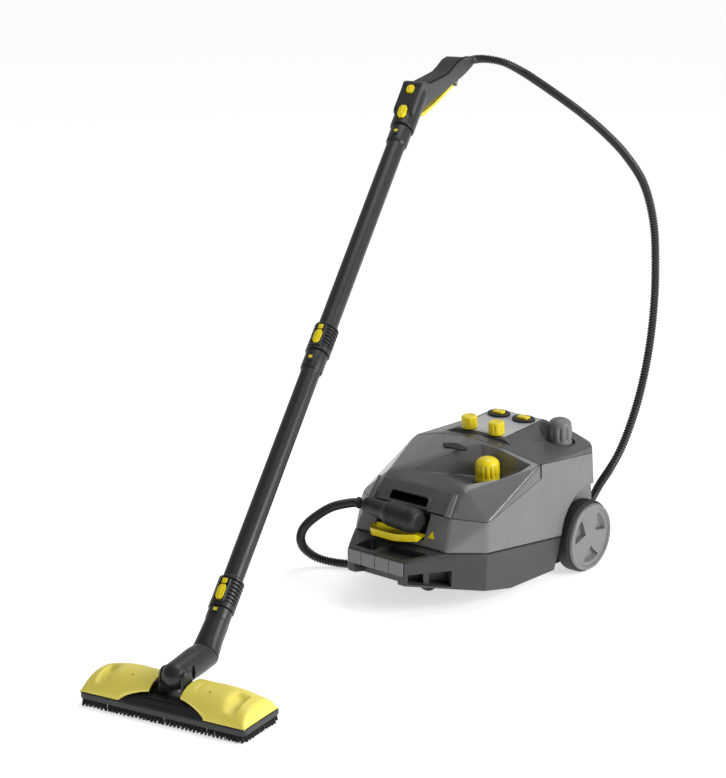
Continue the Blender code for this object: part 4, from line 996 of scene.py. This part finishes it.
def tube(name, place, release_body):
    profile = [(0.0175, GAP), (0.0213, 0.0012), (0.0213, 0.0095)]
    profile += ribs(0.01, 0.056, 7, 0.0212, 0.0182)
    profile += [(TUBE_R + 0.0004, 0.0575), (TUBE_R, 0.059), (TUBE_R, 0.46), (0.0178, 0.463), (0.0192, 0.466)]
    profile += [(0.0192, 0.494), (0.0184, TUBE_LENGTH - GAP), (0.006, TUBE_LENGTH - GAP), (0.006, GAP)]
    body = link(f"{name}_shell", turned(profile, sides=72, ring=True), place)
    boss = rounded(block((-0.0095, 0.0095), (-0.0245, -0.01), (0.006, 0.048)), 0.0025, 3)
    combine(body, "UNION", boss)
    cut(body, block((-0.0072, 0.0072), (-0.04, -0.016), (0.008, 0.037)))
    combine(body, "UNION", lug(0.474, 0.486))
    finish_piece(body, TOOL_GREY, "root", (name,), edge=0.0005, angle=36)
    node, half = f"{name}_release", (0.0067, 0.0135)
    push_button(f"{name}_button", node, place, 0.022, half, 0.0205, 0.0065, release_body)
    tab = rounded(block((-0.004, 0.004), (-0.0262, -0.02), (0.0372, 0.0462)), 0.0012, 2)
    piece(f"{name}_tab", tab, place, YELLOW, "root")
    mark(name, place, 0.4772, 0.4828)


def gun():
    outline = [(0.0003, 0.0316), (0.048, 0.072), (0.052, 0.0775), (0.059, 0.08), (0.072, 0.0785),
            (0.09, 0.0715), (0.145, 0.0735), (0.19, 0.0765), (0.215, 0.083), (0.24, 0.0915), (0.265, 0.0945),
            (0.29, 0.093), (0.318, 0.0905), (0.324, 0.086), (0.324, 0.076), (0.3, 0.07),
            (0.274, 0.0636), (0.231, 0.0567), (0.147, 0.0442), (0.062, 0.0327), (0.03, 0.012)]
    casing = extruded(rounded_outline(outline, 0.012, 3), -0.0185, 0.0185)
    body = link("gun_casing", rounded(casing, 0.0065, 4, 60), GUN)
    barrel = turned([(0.017, GAP), (0.0214, 0.001), (0.0222, 0.003), (0.0222, 0.085), (0.0205, 0.091),
            (0.015, 0.095)], sides=72)
    combine(body, "UNION", barrel, place=BARREL)
    hinge = GUN @ Matrix.Translation((0, *TRIGGER_HINGE))
    ear = [(-0.007, 0.01), (-0.006, -0.002), (-0.002, -0.0055), (0.003, -0.005), (0.006, 0), (0.012, 0.01)]
    for side in (1, -1):
        combine(body, "UNION", extruded(ear, side * 0.0086, side * 0.0126), place=hinge)
    cut(body, rod(0.0023, -0.02, 0.02, "x", 24), place=hinge)
    for along, wide, long, reach in ((0.024, 0.008, 0.0136, 0.0222), (0.076, 0.0074, 0.0094, 0.0245)):
        room = block((-wide, wide), (-reach - 0.02, -reach + 0.0045), (along - long, along + long))
        cut(body, room, place=BARREL)
    finish_piece(body, TOOL_GREY, "root", ("gun_body",), edge=0.0006, angle=40)

    under = [(0.093, 0.0719), (0.145, 0.0739), (0.19, 0.0769), (0.215, 0.0834), (0.24, 0.0919),
            (0.265, 0.0949), (0.287, 0.0936)]
    over = [(0.286, 0.0962), (0.265, 0.0988), (0.24, 0.0958), (0.215, 0.0873), (0.19, 0.0808),
            (0.145, 0.0778), (0.096, 0.0752)]
    pad = rounded(extruded(under + over, -0.015, 0.015), 0.0012, 2, 50)
    piece("grip_insert", pad, GUN, GRIP, "root", ("gun_grip",), angle=50)
    lever = [(-0.169, -0.0385), (-0.157, -0.0391), (-0.107, -0.0306), (-0.043, -0.0159), (0.006, -0.0045),
            (0.004, 0.0015), (-0.043, -0.0095), (-0.107, -0.024), (-0.16, -0.032), (-0.169, -0.033)]
    strip = extruded(rounded_outline(lever, 0.004, 3), -0.008, 0.008)
    bar = link("trigger_lever", rounded(strip, 0.0022, 3, 60), hinge)
    combine(bar, "UNION", rod(0.002, -0.0122, 0.0122, "x", 24))
    finish_piece(bar, YELLOW, "trigger", ("gun_trigger",), angle=50)
    for name, node, along, half, radius, proud, rides in (
        ("release_button", "gun_release_button", 0.024, (0.0074, 0.013), 0.0222, 0.0065, "gun_release"),
        ("lock_button", "gun_lock_button", 0.076, (0.0068, 0.0088), 0.0245, 0.0045, "lock_button"),
    ):
        push_button(name, node, BARREL, along, half, radius, proud, rides)


# ---- floor nozzle
BALL_R, BALL_FLAT_X = 0.0215, 0.0182  # the elbow's ball, with a flat beside each ear of the nozzle
EAR_X = 0.0188
PIN_R, PIN_BORE_R = 0.004, 0.0043
CLAMP_START_X, CLAMP_LENGTH = 0.029, 0.1204
CLAMP_MIDDLE_Y, CLAMP_HALF_DEPTH, CLAMP_CROWN, CLAMP_WALL = 0.006, 0.048, 0.0355, 0.0022
THUMB_X, THUMB_DEPTH = 0.12, 0.01
TUFTS_ALONG, TUFTS_ACROSS, FILAMENTS = 42, 11, 12


def neck_and_elbow():
    def sections(axis, *places):
        return [circle(axis * reach, axis, radius, 72) for reach, radius in places]

    joint = placed(NECK_JOINT_AT)
    rings = sections(SWIVEL_AXIS, (0.0003, 0.0218), (0.0012, 0.0227))
    rings += sections(ALONG_LANCE, (0.022, 0.0205), (0.052, 0.0188), (0.0575, 0.0186), (0.059, 0.0196),
            (NECK_LENGTH - 0.001, 0.0196), (NECK_LENGTH - GAP, 0.019))
    neck = link("neck_shell", loft(rings), joint)
    combine(neck, "UNION", lug(-0.013, -0.003), place=LOWER)
    finish_piece(neck, TOOL_GREY, "root", ("nozzle_neck",), edge=0.0004, angle=30)
    mark("neck", LOWER, -0.0108, -0.0052)
    from_cad("parking_hook", "hook_rail", DARK, "root", 0.001)

    length = (NECK_JOINT_AT - PIVOT_AT).length
    ball = [(-BALL_R * cos(a), BALL_R * sin(a)) for a in [pi * i / 24 for i in range(1, 13)]]
    stem = [(0.015, 0.0217), (0.03, 0.022), (0.045, 0.0225), (0.054, 0.0227)]
    rings = sections(ALONG_ELBOW, *[(place - length, radius) for place, radius in ball + stem])
    rings += sections(SWIVEL_AXIS, (-0.0012, 0.0228), (0, 0.022))
    elbow = link("elbow_shell", loft(rings), joint)
    for side in (1, -1):
        x = sorted((side * BALL_FLAT_X, side * 0.05))
        cut(elbow, block(x, (-0.03, 0.022), (-0.03, 0.03)), place=HEAD)
    cut(elbow, rod(PIN_BORE_R, -0.03, 0.03, "x", 24), place=HEAD)
    finish_piece(elbow, TOOL_GREY, "elbow", ("nozzle_elbow",), edge=0.0012, steps=3, angle=32)


def nozzle_base():
    plate = rectangle((-NOZZLE_HALF, NOZZLE_HALF), (NOZZLE_FRONT, NOZZLE_REAR), 0.01)
    body = link("nozzle_plate", rounded(extruded(plate, PLATE_FOOT, PLATE_TOP, "z"), 0.0012, 2, 60), HEAD)
    rise = [(-0.041, -0.045), (-0.034, -0.032), (-0.01, -0.029), (0.014, -0.032), (0.034, -0.0395),
            (0.045, -0.045)]
    combine(body, "UNION", extruded(rise, -0.0335, 0.0335))
    shoulder = both_sides([(0.081, -0.0425, -0.044), (0.081, -0.0425, -0.0405), (0.074, -0.03, -0.033),
            (0.03, -0.033, -0.027), (0.072, -0.018, -0.033), (0.03, -0.018, -0.027),
            (0.081, -0.018, -0.044)])
    combine(body, "UNION", rounded(hull(shoulder), 0.0015, 2))
    channel = both_sides([(0.076, -0.04, -0.0385), (0.069, -0.031, -0.031), (0.024, -0.0345, -0.025),
            (0.07, -0.045, -0.02), (0.02, -0.045, -0.02), (0.076, -0.04, -0.02)])
    cut(body, hull(channel))
    for side in (1, -1):
        arc = [pi * i / 16 for i in range(-4, 21)]
        points = [(side * x, r * cos(a), r * sin(a))
                for x, r in ((EAR_X, 0.0135), (0.0222, 0.0118), (0.0246, 0.008)) for a in arc]
        points += [(side * x, y, -0.04) for x in (EAR_X, 0.0262) for y in (-0.014, 0.014)]
        combine(body, "UNION", hull(points))
    cut(body, rod(PIN_BORE_R, -0.0243, 0.0243, "x", 24))
    piece("hinge_pin", rod(PIN_R, -0.0238, 0.0238, "x", 24), HEAD, STEEL, "nozzle", ("nozzle_pin",))
    finish_piece(body, TOOL_GREY, "nozzle", ("nozzle_body",), edge=0.0006, angle=36)


def bristles():
    """Tufts of splayed bristles in two rows all round, with a core that hides what is behind their roots."""
    bm = bmesh.new()
    half, front, rear = NOZZLE_HALF, NOZZLE_FRONT, NOZZLE_REAR
    tip_z = -PIVOT_AT.z + 0.0002

    def tuft(x, y, out_x, out_y):
        for _ in range(FILAMENTS):
            dx, dy = random.uniform(-0.0017, 0.0017), random.uniform(-0.0017, 0.0017)
            splay = random.uniform(0.2, 1.0) * 0.0018
            foot = Vector((x + dx * 0.7, y + dy * 0.7, PLATE_FOOT - 0.0004))
            lift = random.uniform(0, 0.0007)
            tip = Vector((x + dx * 1.25 + out_x * splay, y + dy * 1.5 + out_y * splay, tip_z + lift))
            low, high = ([bm.verts.new(end + Vector((r * cos(a), r * sin(a), 0))) for a in (0.3, 2.4, 4.5)]
                    for end, r in ((tip, 0.00075), (foot, 0.0008)))
            for i in range(3):
                j = (i + 1) % 3
                bm.faces.new((low[i], low[j], high[j], high[i]))
            bm.faces.new(low[::-1])
            bm.faces.new(high)

    for row in (0.0045, 0.0105):
        for i in range(TUFTS_ALONG):
            x = -half + 0.0065 + (2 * half - 0.013) * i / (TUFTS_ALONG - 1)
            for y, out in ((front + row, -1), (rear - row, 1)):
                tuft(x, y, 0, out if row < 0.006 else 0)
        for i in range(TUFTS_ACROSS):
            y = front + 0.014 + (rear - front - 0.028) * i / (TUFTS_ACROSS - 1)
            for x, out in ((-half + row, -1), (half - row, 1)):
                tuft(x, y, out if row < 0.006 else 0, 0)
    piece("bristle_tufts", closed(bm), HEAD, BRISTLE, "nozzle", ("bristle_strip",), angle=50)
    strip = block((-half + 0.006, half - 0.006), (front + 0.006, rear - 0.006), (tip_z + 0.011, PLATE_FOOT))
    core = link("bristle_core", strip, HEAD)
    cut(core, block((-half + 0.012, half - 0.012), (front + 0.012, rear - 0.012), (-0.1, 0)))
    finish_piece(core, BRISTLE, "nozzle")


def clamp_height(x, y):
    """Height of a cloth clamp's outside above its lower edge, at x from the middle of the nozzle."""
    across = min(1.0, abs(y - CLAMP_MIDDLE_Y) / CLAMP_HALF_DEPTH)
    crown = CLAMP_CROWN - 0.01 * max(0.0, (x - 0.09) / 0.05) ** 1.6
    height = crown * (1 - across**2.3) ** 0.62
    width = 0.013 if x < THUMB_X else 0.0062
    thumb = exp(-(((x - THUMB_X) / width) ** 4)) * exp(-(((y + 0.012) / 0.021) ** 6))
    crease = exp(-(((x - 0.048) / 0.0035) ** 2)) * exp(-(((y + 0.004) / 0.012) ** 4))
    rear = exp(-(((x - 0.075) / 0.01) ** 4)) * exp(-(((y - 0.026) / 0.006) ** 4))
    end = max(0.0, (x - 0.1385) / 0.011)
    height += 0.0008 * rear - 0.001 * crease - THUMB_DEPTH * thumb * (1 - across**3)
    return max(0.0, height * (1 - end**3.0))


def clamps():
    columns, rows = 84, 48
    for name, side in (("left", -1), ("right", 1)):
        bm = bmesh.new()
        grid = []
        for i in range(columns + 1):
            x = CLAMP_START_X + CLAMP_LENGTH * i / columns
            row = []
            for j in range(rows + 1):
                y = CLAMP_MIDDLE_Y + CLAMP_HALF_DEPTH * sin(pi * (j / rows - 0.5))
                row.append(bm.verts.new((side * x, y, PLATE_TOP + 0.001 + clamp_height(x, y))))
            grid.append(row)
        for low, high in zip(grid, grid[1:]):
            for j in range(rows):
                bm.faces.new((low[j], low[j + 1], high[j + 1], high[j]))
        closed(bm)
        if sum(face.normal.z for face in bm.faces) < 0:
            bmesh.ops.reverse_faces(bm, faces=bm.faces)
        cover = link(f"clamp_cover_{name}", bm, HEAD)
        solidify = cover.modifiers.new("wall", "SOLIDIFY")
        solidify.thickness = CLAMP_WALL
        solidify.offset = -1
        settle(cover)
        corner = [(0.02, -0.06), (0.0815, -0.06), (0.08, -0.0455), (0.074, -0.0395), (0.06, -0.036),
                (0.04, -0.0315), (0.02, -0.0285)]
        cut(cover, extruded([(side * x, y) for x, y in corner], -0.06, 0.02, "z"))
        cut(cover, rod(0.0019, -0.05, 0.03, sides=20),
            place=HEAD @ Matrix.Translation((side * 0.07, -0.012, 0)))
        finish_piece(cover, PALE_YELLOW, f"{name}_clamp", (f"clamp_{name}",), angle=48)


# ---- studio
FLOOR_WHITE, FLOOR_GLOW = 0.88, 0.62
SURROUND = 0.62  # the surround's strength behind the object; it falls to a fifth of that in front of it
LAMPS = (  # name, place, aim, size, power
    ("key_light", (3.2, 0.9, 1.7), (0, 0, 0.2), 1.4, 66),
    ("top_light", (0.3, 0.9, 3.6), (0, 0, 0.1), 2.0, 34),
)


def studio():
    floor_bm = bmesh.new()
    bmesh.ops.create_grid(floor_bm, x_segments=1, y_segments=1, size=30)
    ground = link("floor", floor_bm, Matrix.Identity(4))
    paper = bpy.data.materials.new("white_floor")
    paper.use_nodes = True
    set_inputs(paper.node_tree.nodes["Principled BSDF"], {
        "Base Color": (FLOOR_WHITE, FLOOR_WHITE, FLOOR_WHITE, 1), "Roughness": 0.9,
        "Emission Color": (1, 1, 1, 1), "Emission Strength": FLOOR_GLOW})
    ground.data.materials.append(paper)
    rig.stage(ground)

    world = bpy.data.worlds.new("studio")
    world.use_nodes = True
    nodes, links = world.node_tree.nodes, world.node_tree.links
    axes = nodes.new("ShaderNodeSeparateXYZ")
    links.new(nodes.new("ShaderNodeTexCoord").outputs["Generated"], axes.inputs[0])
    limits = {"From Min": -0.9, "From Max": 0.9, "To Min": 0.2, "To Max": 1.0}
    brightness = set_inputs(nodes.new("ShaderNodeMapRange"), limits)
    links.new(axes.outputs["Y"], brightness.inputs["Value"])
    links.new(brightness.outputs["Result"], nodes["Background"].inputs["Color"])
    set_inputs(nodes["Background"], {"Strength": SURROUND})
    bpy.context.scene.world = world
    for name, place, aim, size, power in LAMPS:
        data = bpy.data.lights.new(name, "AREA")
        data.size = size
        data.energy = power
        lamp = in_scene(name, data)
        lamp.location = place
        lamp.rotation_euler = (Vector(aim) - Vector(place)).to_track_quat("-Z", "Y").to_euler()
    bpy.context.scene.view_settings.view_transform = "Standard"


# ---- the whole
camera()
hose, hose_path, hose_length, ferrules = steam_hose()
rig.cord(hose, exit=hose_path[0], length=round(hose_length, 2), diameter=2 * HOSE_R, far_end="object", stiffness="stiff",
        lay="loose", path=hose_path, with_pieces=ferrules)
base_shell()
upper_shells()
front_panel()
bumper()
screw_caps()
deck_controls()
socket_and_plug()
small_trim()
wheels()
tube("lower_tube", LOWER, "lower_release")
tube("upper_tube", UPPER, "upper_release")
gun()
neck_and_elbow()
nozzle_base()
bristles()
clamps()
studio()

visual_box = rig.bounds()
with open("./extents.json", "w") as sizes:
    json.dump({"cad": [list(corner) for corner in cad_box], "visual": [list(corner) for corner in visual_box]}, sizes)
